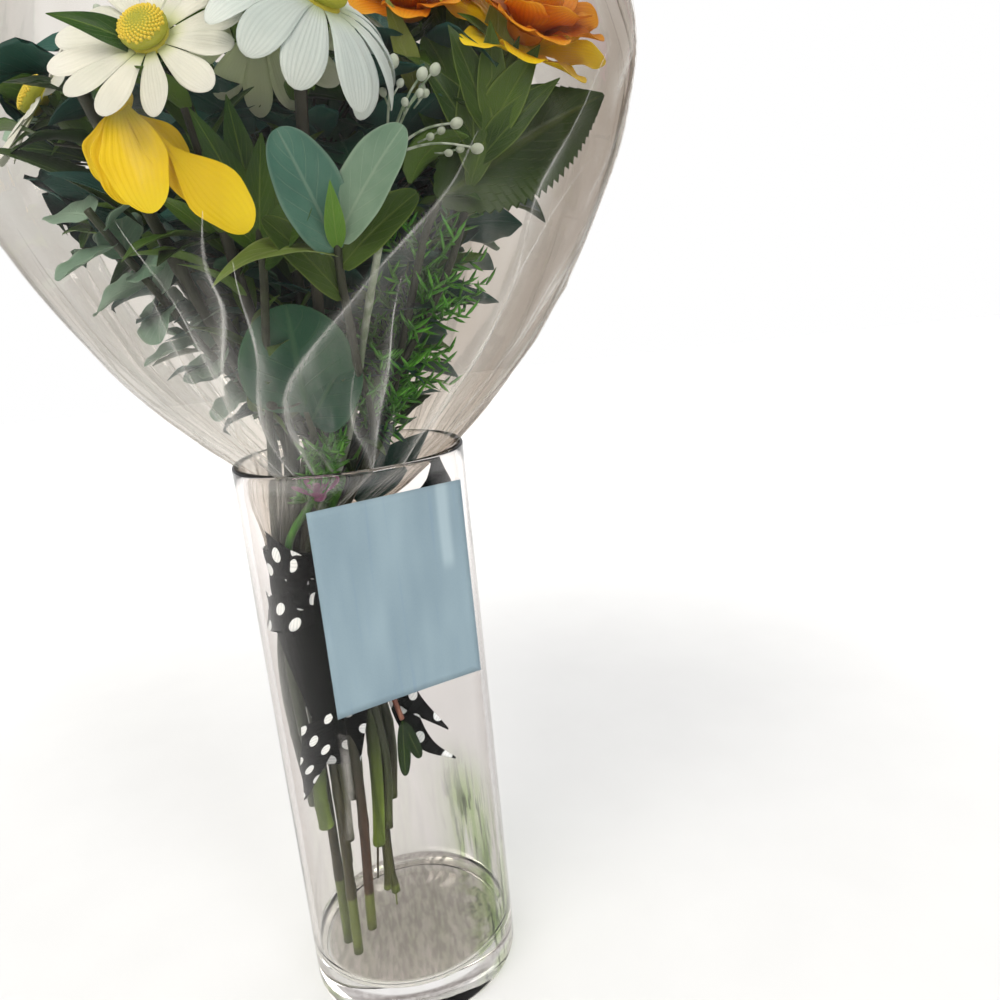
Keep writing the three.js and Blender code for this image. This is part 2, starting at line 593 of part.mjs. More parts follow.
addMesh('glass_vase', vase(), 'glass', { roughness: 0.05, transparent: true, opacity: 0.35 });
addMesh('paper_note', note(), 'note', { roughness: 0.8 });
addMesh('film_wrapper', film(), 'film', { roughness: 0.15, transparent: true, opacity: 0.35 });

const stems = [...FLOWERS, ...SPRAYS, ...FILLERS].map((entry) => Object.assign(entry, {
  centre: at(entry.head), axis: at(entry.facing).normalize(), head: at(entry.head),
}));
giveSlots(stems);
const within = room();

for (const s of [...SPRAYS, ...FILLERS]) {
  s.points = route(s.slot, s.foot, s.centre, s.axis);
  keepClear(s.name, (g) => stalk(s.points, TWIG, g, 4));
}

for (const f of FLOWERS) {
  const hub = HUB[f.kind];
  f.under = hub.height + GAP + (f.outer ? 2 * HUB.tulip.height + GAP : 0);
  const cup = f.centre.clone().addScaledVector(f.axis, -f.under - CUP_HEIGHT);
  f.points = route(f.slot, f.foot, cup, f.axis);
  const stem = (g) => joined([
    stalk(f.points, STEM, g), ball(cup, f.axis, hub.radius * 0.8, CUP_HEIGHT, g, 6, 4)]);
  f.stem = stem(0);
  keepClear(`${f.name}_stem`, stem);
}
for (const f of FLOWERS) {
  const colour = PETAL_COLOUR[f.name.split('_')[0]];
  if (f.kind === 'daisy' || f.kind === 'drooping') {
    const crown = f.centre.clone().addScaledVector(f.axis, HUB.daisy.height + GAP + DISC.height);
    grow(`${f.name}_disc`, 'disc', (g) => ball(crown, f.axis, DISC.radius, DISC.height, g, 8, 5), within);
  }
  if (f.outer) {
    const low = f.centre.clone().addScaledVector(f.axis, -f.under + HUB.tulip.height + GAP);
    grow(`${f.name}_outer`, f.outer, (g) => bloom({ ...f, centre: low, kind: 'tulip' }, EDGE, g), within);
  }
  grow(`${f.name}_petals`, colour, (g) => bloom(f, LAYERS[f.kind], g), within);
}
for (const f of FLOWERS) {
  const name = `${f.name}_stem`;
  if (f.ring) grow(name, 'leaf', (g) => joined(ringLeaves(f.points, f.ring, g)), within, f.stem);
  else addMesh(name, f.stem, 'stem');
}
for (const s of SPRAYS) {
  const path = upper(s.points);
  grow(s.name, s.colour, (g) => joined([
    ...(s.leaves ?? []).map((leaf) => leafBetween({ root: path.getPointAt(leaf.from), ...leaf }, g)),
    ...(s.ring ? ringLeaves(s.points, s.ring, g) : []),
  ]), within, stalk(s.points, TWIG, 0, 4));
}
for (const f of FILLERS) {
  grow(f.name, 'stalk', (g) => joined([
    ...f.tips.map((p) => needle(f.centre, at(p), 0.9, g)),
    ...f.tips.map((p) => ball(at(p), f.axis, 2.4, 2.8, g, 4, 3)),
  ]), within, stalk(f.points, TWIG, 0, 4));
}

addMesh('ribbon', ribbon(), 'ribbon', { roughness: 0.7 });
const shoot = (g) => stalk(SPRIG.stalk.map(at), SPRIG.radius, g);
keepClear('sprig_stalk', shoot);
addMesh('sprig_stalk', shoot(0), 'bark');
const shootEnd = at(SPRIG.stalk[SPRIG.stalk.length - 1]).add(V(0, 0, -GAP - 0.25));
grow('sprig_leaves', 'dark', (g) => joined(SPRIG.tips.map((tip) => leafBetween(
  { root: shootEnd, tip, face: TO_FRONT, width: 6, outline: oval }, g))), within);

export default group;
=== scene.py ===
import math

import bmesh
import bpy
import numpy as np
from mathutils import Matrix, Vector


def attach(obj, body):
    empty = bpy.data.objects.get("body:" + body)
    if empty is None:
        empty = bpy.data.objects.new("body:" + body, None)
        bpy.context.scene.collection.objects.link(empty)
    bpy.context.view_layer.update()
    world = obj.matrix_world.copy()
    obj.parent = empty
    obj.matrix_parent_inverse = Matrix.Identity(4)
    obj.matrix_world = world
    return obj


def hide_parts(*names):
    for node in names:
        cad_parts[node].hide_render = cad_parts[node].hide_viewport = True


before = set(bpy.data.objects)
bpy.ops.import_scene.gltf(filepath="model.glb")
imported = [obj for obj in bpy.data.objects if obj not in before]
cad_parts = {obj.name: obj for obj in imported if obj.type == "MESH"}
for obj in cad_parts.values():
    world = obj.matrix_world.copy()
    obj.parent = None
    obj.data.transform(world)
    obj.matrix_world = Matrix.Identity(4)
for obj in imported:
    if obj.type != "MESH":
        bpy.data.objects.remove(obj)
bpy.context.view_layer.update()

MM = 0.001
GAP = 0.35  # between neighbouring pieces
UP = np.array([0.0, 0, 1])
VASE = {"radius": 50, "height": 259, "wall": 3, "floor": 16, "foot": 4}
TIE = np.array([-23.0, -9.0])  # the tie's middle
TIE_LOW, TIE_HIGH = 198, 226
rng = np.random.default_rng(11)  # every draw shifts the ones after it, so new pieces are planted last


# ---- Arrays ----
def unit(v):
    """Vectors scaled to length one."""
    return v / np.maximum(np.linalg.norm(v, axis=-1, keepdims=True), 1e-12)


def ease(x, low, high):
    """0 below low, 1 above high, and a smooth step between them."""
    t = np.clip((np.asarray(x, float) - low) / (high - low), 0, 1)
    return t * t * (3 - 2 * t)


def around(count):
    """Angles evenly spaced round a full turn."""
    return np.linspace(0, 2 * np.pi, count, endpoint=False)


def curve(points, share):
    """A centripetal spline through the points, read at shares 0 to 1 of their number: the cubic between
    two neighbours that leaves each in the direction set by the points on both sides of it."""
    p = np.vstack([2 * points[0] - points[1], points, 2 * points[-1] - points[-2]])
    place = np.clip(np.asarray(share) * (len(points) - 1), 0, len(points) - 1 - 1e-9)
    k = place.astype(int)
    w = (place - k)[:, None]
    a, b, c, d = p[k], p[k + 1], p[k + 2], p[k + 3]
    step = [np.sqrt(np.linalg.norm(r - q, axis=1, keepdims=True)) for q, r in ((a, b), (b, c), (c, d))]
    leave = ((b - a) / step[0] - (c - a) / (step[0] + step[1]) + (c - b) / step[1]) * step[1]
    arrive = ((c - b) / step[1] - (d - b) / (step[1] + step[2]) + (d - c) / step[2]) * step[1]
    cube, square = w ** 3, w ** 2
    return ((2 * cube - 3 * square + 1) * b + (cube - 2 * square + w) * leave
            + (3 * square - 2 * cube) * c + (cube - square) * arrive)


def walk(points, share):
    """Places and directions at shares of the spline's length, from its running length at 400 places."""
    line = curve(points, np.linspace(0, 1, 400))
    run = np.concatenate([[0], np.cumsum(np.linalg.norm(np.diff(line, axis=0), axis=1))])
    slope = np.gradient(line, axis=0)
    at = np.asarray(share) * run[-1]
    read = lambda rows: np.stack([np.interp(at, run, rows[:, k]) for k in range(3)], 1)
    return read(line), unit(read(slope))


def square_to(axis):
    """Two directions square to an axis: the level one, and the one square to both."""
    level = unit(np.cross(UP, axis))
    return level, np.cross(axis, level)


# ---- Patches: grids of points with their faces ----
def lay(points, wrap=False, uv=None, tone=0.0, under=0.0):
    """Faces between neighbours on a grid of points, whose last axes are rows, columns and x, y, z, and any
    axes before them count copies. wrap joins the last column to the first. uv runs 0 to 1 each way if it
    isn't given. tone and under are numbers for the finishes, for all, for each copy or for each point."""
    rows, cols = points.shape[-3:-1]
    grid = points.reshape(-1, rows, cols, 3)
    copies, span = len(grid), cols if wrap else cols - 1
    i, j = np.mgrid[0:rows - 1, 0:span]
    row = np.stack([i, i, i + 1, i + 1], -1).reshape(-1, 4)
    col = np.stack([j, j + 1, j + 1, j], -1).reshape(-1, 4)
    if uv is None:
        v, u = np.mgrid[0:rows, 0:span + 1]
        uv = np.stack([u / span, v / (rows - 1)], -1)
    uv = np.asarray(uv, float)
    uv = uv[:, row, col] if uv.ndim == 4 else np.repeat(uv[row, col][None], copies, 0)
    face = (row * cols + col % cols)[None] + (np.arange(copies) * rows * cols)[:, None, None]

    def spread(value):
        value = np.asarray(value, float)
        value = value.reshape(value.shape + (1, 1)) if value.ndim < 2 else value
        return np.broadcast_to(value, (copies, rows, cols)).ravel()

    return {"points": grid.reshape(-1, 3), "faces": face.reshape(-1, 4), "uv": uv.reshape(-1, 4, 2),
            "tone": spread(tone), "under": spread(under)}


def make(name, parts, nodes=(), weld=True):
    """One piece from (patch, finish) pairs: its mesh in metres with seams and poles welded and faces turned
    outwards, riding on the body, standing for the named solids and taking each patch's finish."""
    mesh = bpy.data.meshes.new(name)
    finishes = []
    for _, finish in parts:
        if finish not in finishes:
            finishes.append(finish)
    offsets = np.cumsum([0] + [len(p["points"]) for p, _ in parts])
    join = lambda key: np.concatenate([p[key] for p, _ in parts])
    faces = np.concatenate([p["faces"] + o for (p, _), o in zip(parts, offsets)])
    mesh.vertices.add(offsets[-1])
    mesh.vertices.foreach_set("co", (join("points") * MM).ravel())
    mesh.loops.add(faces.size)
    mesh.loops.foreach_set("vertex_index", faces.ravel())
    mesh.polygons.add(len(faces))
    mesh.polygons.foreach_set("loop_start", np.arange(0, faces.size, 4))
    mesh.polygons.foreach_set("material_index", np.concatenate(
        [np.full(len(p["faces"]), finishes.index(f)) for p, f in parts]))
    mesh.update(calc_edges=True)
    mesh.uv_layers.new(name="pattern").uv.foreach_set("vector", join("uv").ravel())
    for key in ("tone", "under"):
        mesh.attributes.new(key, "FLOAT", "POINT").data.foreach_set("value", join(key))
    if weld:
        work = bmesh.new()
        work.from_mesh(mesh)
        bmesh.ops.remove_doubles(work, verts=work.verts, dist=2e-6)
        bmesh.ops.recalc_face_normals(work, faces=work.faces)
        work.to_mesh(mesh)
        work.free()
    mesh.shade_smooth()
    for finish in finishes:
        mesh.materials.append(finish)
    piece = bpy.data.objects.new(name, mesh)
    bpy.context.scene.collection.objects.link(piece)
    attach(piece, "root")
    if nodes:
        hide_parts(*nodes)
    return piece


def thicken(sheet, name, thickness):
    """Gives a sheet its thickness in millimetres, half to each side."""
    wall = sheet.modifiers.new(name, "SOLIDIFY")
    wall.thickness, wall.offset = thickness * MM, 0


# ---- Film: where it runs, which also bounds the flowers and leaves inside it ----
# Height, radius and depth of fold, from below the tie to the top edge.
FILM = np.array([
    [190, 18, 0.01], [198, 16.6, 0.01], [226, 16.8, 0.01], [240, 31, 0.035], [257, 45, 0.035],
    [262.6, 51.5, 0.035], [294, 82, 0.06], [334, 107.5, 0.06], [368, 123.5, 0.06], [403, 133, 0.06],
    [432, 126, 0.06], [498, 105, 0.06]])
LOW_EDGE, TOP_EDGE = FILM[0, 0], FILM[-1, 0]
OPEN_FROM, OPEN_BY = 240, 285  # heights between which the gathered film opens out
FOLDS = 24
RANDOM_FOLDS = 38
# Folds in the film: places up the fold as turn in degrees and height, ridge, side and width of the veil.
FOLD_LINES = [
    ([(-106, 350), (-108.5, 334), (-109, 322), (-118, 290), (-126, 262), (-124, 240)], 2.4, -1, 9),
    ([(-104, 336), (-106.6, 306), (-116.8, 266), (-115, 240)], 1.6, 1, 5),
    ([(-66, 366), (-70, 352), (-84, 325), (-104, 291), (-108, 262), (-107, 240)], 2.2, 1, 16),
    ([(-77, 328), (-79.6, 291), (-81, 258), (-84, 240)], 1.8, -1, 6),
    ([(-53, 318), (-59.6, 284), (-60.6, 255), (-66, 240)], 1.8, 1, 10),
    ([(-38, 396), (-44, 375), (-52, 351), (-53.2, 313), (-64.7, 268), (-68, 240)], 2.2, 1, 7),
    ([(-38, 362), (-50.8, 326), (-55.4, 302), (-63, 273), (-72, 240)], 1.6, -1, 5),
    ([(-86, 302), (-88, 278), (-81.3, 259), (-88, 240)], 1.4, 1, 5),
    ([(-120, 332), (-122.2, 307), (-127.3, 266), (-128, 240)], 1.6, -1, 8),
    ([(-142, 313), (-126.2, 304), (-122.6, 271), (-121, 240)], 1.6, -1, 10),
    ([(-162, 296), (-155.8, 282), (-143.4, 268), (-138, 240)], 1.4, 1, 9),
    ([(-107, 279), (-101.4, 270), (-99.3, 262), (-98, 240)], 1.2, -1, 4),
    ([(-119, 350), (-116.8, 327), (-117.9, 293), (-125.3, 269), (-118, 240)], 1.4, 1, 6),
    ([(-28, 348), (-36, 318), (-44, 286), (-52, 262), (-60, 240)], 1.6, 1, 8),
    ([(-18, 372), (-24, 330), (-34, 290), (-46, 255), (-50, 240)], 1.6, -1, 8),
    ([(-24, 472), (-22, 430), (-26, 395), (-34, 352)], 1.7, 1, 7),
    ([(-14, 482), (-12, 440), (-17, 400), (-25, 350), (-38, 300)], 1.9, -1, 8),
    ([(-5, 452), (-4, 410), (-10, 370), (-20, 320), (-36, 280)], 1.7, 1, 8),
    ([(-31, 446), (-29, 415), (-33, 384)], 1.5, -1, 6),
]


def fold_depths():
    """How deep each of the 24 columns sinks: none on even ones, and 0.5 to 1.5 times the fold on odd ones."""
    state, depths = 7, np.zeros(FOLDS)
    for i in range(1, FOLDS, 2):
        state = state * 16807 % 2147483647
        depths[i] = 0.5 + state / 2147483647
    return depths


DEPTHS = fold_depths()


def film_radius(z, turn, folded=1.0):
    """The film's distance from its middle: the table's radius at that height, less its fold times the depth
    between the two nearest columns, averaged over up to 12 mm of height so that no row makes an edge."""
    column = np.mod(turn, 2 * np.pi) / (2 * np.pi) * FOLDS
    k = np.floor(column).astype(int) % FOLDS
    share = column - np.floor(column)
    depth = DEPTHS[k] * (1 - share) + DEPTHS[(k + 1) % FOLDS] * share
    reach = 2 + 10 * ease(z, OPEN_FROM, OPEN_BY)
    spread = np.linspace(-1, 1, 7)
    radius = sum(np.interp(z + d * reach, FILM[:, 0], FILM[:, 1]) for d in spread) / len(spread)
    return radius * (1 - folded * np.interp(z, FILM[:, 0], FILM[:, 2]) * depth)


def film_middle(z):
    """The film's middle: over the tie up to its top, and then across to the vase's axis by 257 mm."""
    return TIE * np.clip((257 - np.asarray(z, float)) / 31, 0, 1)[..., None]


def keep_inside(patch, margin=1.6):
    """Points that would pass through the film are moved level towards its middle, to lie against it."""
    p = patch["points"]
    middle = film_middle(p[:, 2])
    out = p[:, :2] - middle
    reach = np.hypot(out[:, 0], out[:, 1])
    room = film_radius(p[:, 2], np.arctan2(out[:, 1], out[:, 0])) - margin
    share = np.where((p[:, 2] > 230) & (reach > room), room / np.maximum(reach, 1e-9), 1)
    p[:, :2] = middle + out * share[:, None]
    return patch


# ---- Shapes ----
def tube(line, radius, sides=10, tone=0.0):
    """A round stalk: at each point of the line a ring square to it, of the radius given there, and at both
    ends a last ring shrunk to the middle."""
    line = np.asarray(line, float)
    heading = unit(np.gradient(line, axis=-2))
    whole = np.abs(unit(line[..., -1, :] - line[..., 0, :]))
    off = np.eye(3)[np.argmin(whole, axis=-1)][..., None, :]
    x = unit(np.cross(heading, off))
    y = np.cross(heading, x)
    turn = around(sides)[:, None]
    size = np.broadcast_to(np.asarray(radius, float), line.shape[:-1])[..., None, None]
    rings = line[..., None, :] + size * (x[..., None, :] * np.cos(turn) + y[..., None, :] * np.sin(turn))
    cap = lambda k: np.broadcast_to(line[..., k:k + 1 or None, None, :], rings[..., :1, :, :].shape)
    return lay(np.concatenate([cap(0), rings, cap(-1)], axis=-3), wrap=True, tone=tone)


def ball(centre, axis, radius, height, sides=12, rings=7, tone=0.0):
    """A ball squashed along its axis, one for each centre: radius times the sine of the latitude angle
    outwards and height times its cosine along the axis."""
    centre, axis = np.atleast_2d(centre), np.atleast_2d(axis)
    x, y = square_to(axis)
    down = np.linspace(np.pi, 0, rings)[:, None, None]
    turn = around(sides)[:, None]
    grab = lambda v: v[:, None, None, :]
    out = grab(x) * np.cos(turn) + grab(y) * np.sin(turn)
    radius, height = (np.reshape(np.broadcast_to(v, len(centre)), (-1, 1, 1, 1)) for v in (radius, height))
    return lay(grab(centre) + radius * np.sin(down) * out + height * np.cos(down) * grab(axis),
               wrap=True, tone=tone)


def pointed(t):
    """Half width of a lance leaf at share t: a sine that is widest before the middle."""
    return np.sin(np.pi * np.minimum(1, 0.05 + 0.94 * t ** 0.8))


def oval(t):
    """Half width of an oval leaf: half an ellipse."""
    return np.sqrt(np.maximum(0, 1 - (2 * t - 1) ** 2))


def rounded(t, low, rise, peak, fall):
    """A petal's half width: a rising and a falling line joined by a soft bend, closed by a round end."""
    up, down = low + rise * t, peak - fall * t
    end = np.clip((t - 0.78) / 0.22, 0, 1)
    return (up ** -7.0 + down ** -7.0) ** (-1 / 7) * (1 - end ** 2.6) ** 0.5


def petal(t):
    """A daisy petal: narrow at its root, widest at two thirds, blunt and round at its end."""
    return rounded(t, 0.22, 1.2, 1.9, 1.25) * 1.08


def broad(t):
    """A broad petal, widest at its middle."""
    return rounded(t, 0.16, 1.7, 1.75, 1.2)


def blades(root, along, face, length, width, outline, bend=0.3, cup=0.0, rows=14, cols=10, thick=0.4,
           teeth=0, ruffle=0.0, waves=2.5, ridge=0.0, ridges=3, sway=0.0, twist=0.0, tone=0.0):
    """Leaves or petals, one for each root. Share t runs along the rib and angle p round a thin closed
    section. The rib is an arc of `bend` radians from `along` away from `face`, and sways sideways by t
    squared. The section reaches the outline's half width times cos p to each side, is half the thickness
    times sin p up or down, and is raised by the cup times its reach squared, by ridges along the blade and
    by a ruffle that grows towards the edge. Teeth cut the edge back in slanting steps."""
    root = np.atleast_2d(root)
    n = len(root)
    grab = lambda v: np.reshape(np.broadcast_to(v, (n,)), (-1, 1, 1))
    length, width, bend, sway, twist = (grab(v) for v in (length, width, bend, sway, twist))
    bend = np.where(np.abs(bend) < 1e-3, 1e-3, bend)
    t = np.linspace(0, 1, rows + 1)[None, :, None]
    t = t if teeth else 1 - (1 - t) ** 1.6
    p = around(2 * cols)[None, None, :]
    across, up = np.cos(p), -np.sin(p)
    turn = bend * t
    vector = lambda v: np.atleast_2d(v)[:, None, None, :]
    along, face = vector(along), vector(face)
    side = np.cross(along, face)
    rib = (vector(root) + along * (length / bend * np.sin(turn))[..., None]
           - face * (length / bend * (1 - np.cos(turn)))[..., None]
           + side * (sway * length * t ** 2)[..., None])
    heading_normal = face * np.cos(turn)[..., None] + along * np.sin(turn)[..., None]
    roll = twist * t
    flat = side * np.cos(roll)[..., None] + heading_normal * np.sin(roll)[..., None]
    normal = heading_normal * np.cos(roll)[..., None] - side * np.sin(roll)[..., None]
    share = outline(t)
    if teeth:
        share = share * (1 - 0.13 * np.mod(t * teeth, 1) * (1 - t ** 6))
    half = width / 2 * share
    phase = rng.uniform(0, 2 * np.pi, (n, 1, 1))
    lift = (cup * half * across ** 2 + ridge * np.cos(ridges * np.pi * across) * share * np.sin(np.pi * t)
            + ruffle * half * across ** 2 * np.sin(2 * np.pi * waves * t + phase + np.sign(across) * 0.9))
    body = thick / 2 * up * np.minimum(1, np.abs(share) * 3) ** 0.5
    points = rib + flat * (half * across)[..., None] + normal * (lift + body)[..., None]
    angle = np.linspace(0, 2 * np.pi, 2 * cols + 1)[None]
    uv = np.stack(np.broadcast_arrays(np.cos(angle) / 2 + 0.5, t[0]), -1)
    return lay(points, wrap=True, uv=uv, tone=tone, under=np.broadcast_to(up < -1e-6, points.shape[:-1]))


def leaf_between(root, tip, face, bend=0.5, **rest):
    """Blades given by their two ends and the way their upper faces look: an arc over the straight line."""
    root, tip, face = (np.atleast_2d(np.asarray(v, float)) for v in (root, tip, face))
    chord = tip - root
    straight = unit(chord)
    up = unit(face - straight * (face * straight).sum(1, keepdims=True))
    c, s = math.cos(bend / 2), math.sin(bend / 2)
    length = np.linalg.norm(chord, axis=1) * (bend / 2) / s
    return blades(root, straight * c + up * s, up * c - straight * s, length, bend=bend, **rest)


# ---- Where the stems run ----
BUNDLE = np.array([  # height, middle x and y, spread
    [16, -20.5, -11, 1], [125, -16, -10, 1.35], [198, -23, -9, 1], [226, -23, -9, 1], [264, -9, -4, 1.85]])
# Height from which stems fan out, length of a stem's straight end, distance between slots in the tie.
FAN_FROM, NECK, SLOT = 220, 10, 4.4


def in_bundle(slot, z):
    """A stem's place at a height: the bundle's middle there plus its spread times the stem's own slot."""
    x, y, spread = (np.interp(z, BUNDLE[:, 0], BUNDLE[:, k]) for k in (1, 2, 3))
    return np.array([x + spread * slot[0], y + spread * slot[1], z])


def route(slot, foot, head, facing):
    """From foot to head: parallel through the tie, then straight to the head, arriving along its facing."""
    low = [foot] + [z for z in BUNDLE[:, 0] if foot + 12 < z < head[2] - 15]
    points = [in_bundle(slot, z) for z in low]
    under = head - facing * NECK
    return np.array(points + [points[-1] + 0.55 * (under - points[-1]), under, head])


def give_slots(stems):
    """Each stem's slot in the tie: the nearest to the middle first, in rings of 1, 6, 12 and 18 places,
    turned so that each stem leaves on the side to which its head leans."""
    def aim(s):
        c = s["centre"]
        return (c - in_bundle((0, 0), min(c[2], BUNDLE[-1, 0])))[:2] / (c[2] - FAN_FROM)

    angle = lambda s: math.atan2(aim(s)[1], aim(s)[0])
    left, ring = sorted(stems, key=lambda s: float(np.hypot(*aim(s)))), 0
    while left:
        places = 6 * ring if ring else 1
        group, left = sorted(left[:places], key=angle), left[places:]
        turn = lambda i, shift: 2 * math.pi * (i * places // len(group) + shift) / places
        miss = lambda shift: -sum(math.cos(turn(i, shift) - angle(s)) for i, s in enumerate(group))
        best = 0
        for shift in range(1, places):
            if miss(shift) < miss(best):
                best = shift
        for i, s in enumerate(group):
            s["slot"] = SLOT * ring * np.array([math.cos(turn(i, best)), math.sin(turn(i, best))])
        ring += 1


# ---- Plants ----
# Rings of leaves up a stem, and the flowers: head, the way it faces, height of the stem's foot.
LANCE = dict(count=18, start=0.06, lift=58, length=34, width=9, bend=0.6, outline=pointed)
SHORT = dict(count=16, start=0.08, lift=50, length=26, width=10, bend=0.5, outline=pointed)
FLOWERS = [
    dict(name="daisy_1", kind="daisy", head=(-40, -88, 400), facing=(-0.25, -0.8, 0.55), foot=16.9,
         ring=LANCE),
    dict(name="daisy_2", kind="daisy", head=(-9, -68, 411), facing=(-0.1, -0.92, -0.2), foot=100, ring=LANCE),
    dict(name="daisy_3", kind="drooping", head=(9, -94, 406), facing=(0.45, -0.5, 0.75), foot=33),
    dict(name="daisy_4", kind="daisy", head=(-94, -4, 404), facing=(-0.75, -0.3, 0.6), foot=130, ring=SHORT),
    dict(name="daisy_5", kind="daisy", head=(20, 86, 428), facing=(0.2, 0.75, 0.62), foot=90, ring=SHORT),
    dict(name="yellow_1", kind="tulip", head=(-52, -84, 384), facing=(0.72, -0.2, -0.66), foot=16.9),
    dict(name="yellow_2", kind="tulip", head=(-58, 62, 396), facing=(-0.5, 0.5, 0.7), foot=60, ring=SHORT),
    dict(name="orange_1", kind="double", head=(80, -54, 408), facing=(0.3, -0.62, 0.72), foot=90,
         outer=True, ring=LANCE),
    dict(name="orange_2", kind="double", head=(42, -38, 421), facing=(0, -0.6, 0.8), foot=140, ring=SHORT),
    dict(name="orange_3", kind="double", head=(-22, 14, 452), facing=(-0.1, 0.05, 1), foot=145, ring=SHORT),
    dict(name="pink_1", kind="small", head=(-14, -30, 247), facing=(-0.1, -0.3, 0.95), foot=150),
    dict(name="pink_2", kind="double", head=(74, 50, 430), facing=(0.6, 0.4, 0.7), foot=120, ring=SHORT),
]
# Half width and half height of the hub that carries the petals.
HUB = {"daisy": (6.4, 2.2), "drooping": (6.4, 2.2), "tulip": (5, 2.2), "double": (7, 5), "small": (2.8, 2)}
CUP_HEIGHT = 3
DISC_WIDE, DISC_TALL = 7.3, 3.7  # half sizes of a daisy's disc
FLOWER_STEM, LEAF_STEM, FILLER_STEM = 2.35, 1.7, 1.5  # radii
GOLDEN = np.radians(137.5)
# Whorls of petals: count, lift above flat in degrees, length, width, bend, distance of the root from the
# axis, and how far they are cupped, ruffled or ridged.
WHORLS = {
    "daisy": [dict(count=13, lift=12, length=25, width=9.5, bend=0.35, start=5, ridge=0.35)],
    "drooping": [dict(count=13, lift=6, length=33, width=12.5, bend=1.35, start=5, ridge=0.45)],
    "tulip": [
        dict(count=3, lift=80, length=33, width=19, bend=-0.1, start=2.6, cup=0.25, ruffle=0.08),
        dict(count=3, lift=64, length=38, width=25, bend=0.25, start=4.4, cup=0.3, ruffle=0.1)],
    "double": [
        dict(count=5, lift=84, length=13, width=12, bend=-0.5, start=1.6, cup=0.35, ruffle=0.06),
        dict(count=5, lift=70, length=17, width=14, bend=-0.25, start=3.2, cup=0.3, ruffle=0.08),
        dict(count=7, lift=52, length=20, width=16, bend=0.1, start=4.4, cup=0.2, ruffle=0.1),
        dict(count=8, lift=30, length=23, width=17, bend=0.4, start=5.2, cup=0.15, ruffle=0.12)],
    "small": [
        dict(count=8, lift=48, length=10, width=3.4, bend=0.2, start=1.6),
        dict(count=6, lift=70, length=8, width=2.8, bend=0.1, start=0.8)],
}
EDGE_HUB = 2.2  # half the height of the hub that carries the edge petals
EDGE = dict(count=8, lift=22, length=29, width=18, bend=0.35, start=3, ruffle=0.1, cup=0.12)


def leaning(axis, turn, lift):
    """Where shoots leave an axis at a turn: the way out square to it, the way along once lifted towards the
    axis by the lift in degrees, and the way the upper face looks."""
    x, y = square_to(axis)
    turn, tilt = np.asarray(turn)[:, None], np.radians(lift)[:, None]
    out = x * np.cos(turn) + y * np.sin(turn)
    return out, out * np.cos(tilt) + axis * np.sin(tilt), axis * np.cos(tilt) - out * np.sin(tilt)


def up_stem(points, count, first):
    """Evenly spaced places on a stem's upper part from the share `first` up, and the stem's way there."""
    return walk(points[-4:], first + (1 - first) * (np.arange(count) + 0.5) / count)


def whorl(head, facing, layer, shift, tone=0.5):
    """A ring of petals round a head: their roots stand on a circle square to the facing, and each leaves
    outwards and upwards at the lift, with small differences of lift, length, bend and twist."""
    layer = dict(layer)
    count, lift, start = layer.pop("count"), layer.pop("lift"), layer.pop("start")
    layer["length"] = layer["length"] * rng.uniform(0.95, 1.02, count)
    layer["bend"] = layer["bend"] + rng.normal(0, 0.07, count)
    turn = 2 * np.pi * (np.arange(count) + shift) / count + rng.normal(0, 0.04, count)
    out, along, face = leaning(facing, turn, lift + rng.normal(0, 3.5, count))
    return blades(head + out * start, along, face, twist=rng.normal(0, 0.22, count),
                  sway=rng.normal(0, 0.03, count),
                  tone=np.clip(tone + rng.normal(0, 0.13, count), 0, 1), **layer)


def florets(crown, axis, radius, height):
    """The disc of a daisy: a low dome covered by tiny buds, each the golden angle round from the last, at a
    distance that grows with the square root of its number."""
    x, y = square_to(axis)
    count = 170
    i = np.arange(count)[:, None] + 0.5
    share = np.sqrt(i / count)
    turn = np.radians(137.508) * i  # the golden angle, more exactly than leaves need it
    out = x * np.cos(turn) + y * np.sin(turn)
    rise = np.sqrt(np.maximum(0, 1 - (share * 0.93) ** 2))
    place = crown + out * share * radius * 0.93 + axis * rise * height * 0.9
    lean = unit(out * share * 0.8 + axis * (0.4 + rise))
    size = 0.36 + 0.2 * share[:, 0]
    return [ball(crown, axis, radius, height, 28, 13, tone=0.15),
            ball(place, lean, size, size * 1.5, 6, 5, tone=0.2 + 0.8 * share[:, 0])]


def leaf_ring(points, ring):
    """Leaves along the upper part of a stem, each the golden angle round from the last, leaving it outwards
    and upwards at the lift, and smaller low down where the film is narrow."""
    ring = dict(ring)
    count, first, lift = ring.pop("count"), ring.pop("start"), ring.pop("lift")
    root, axis = up_stem(points, count, first)
    _, along, face = leaning(axis, GOLDEN * np.arange(count), lift + rng.normal(0, 5, count))
    small = np.clip(film_radius(root[:, 2], np.zeros(count)) / 105, 0.3, 1)
    ring["length"] = ring["length"] * rng.uniform(0.85, 1.04, count) * small
    ring["width"] = ring["width"] * (0.3 + 0.7 * small)
    ring["bend"] = ring.get("bend", 0.5) + rng.normal(0, 0.15, count)
    return blades(root, along, face, tone=np.clip(0.5 + rng.normal(0, 0.2, count), 0, 1),
                  twist=rng.normal(0, 0.25, count), sway=rng.normal(0, 0.05, count), **ring)


def stem_tube(points, radius, tone):
    """A stem's tube along its route, a little thicker at four knots and a little thinner towards its head."""
    share = np.linspace(0, 1, 70)
    line, _ = walk(points, share)
    at = rng.uniform(0.08, 0.9, 4)
    swell = 1 + 0.16 * np.exp(-((share[:, None] - at) / 0.008) ** 2).sum(1) - 0.12 * share
    return tube(line, radius * swell, 10, tone=tone)
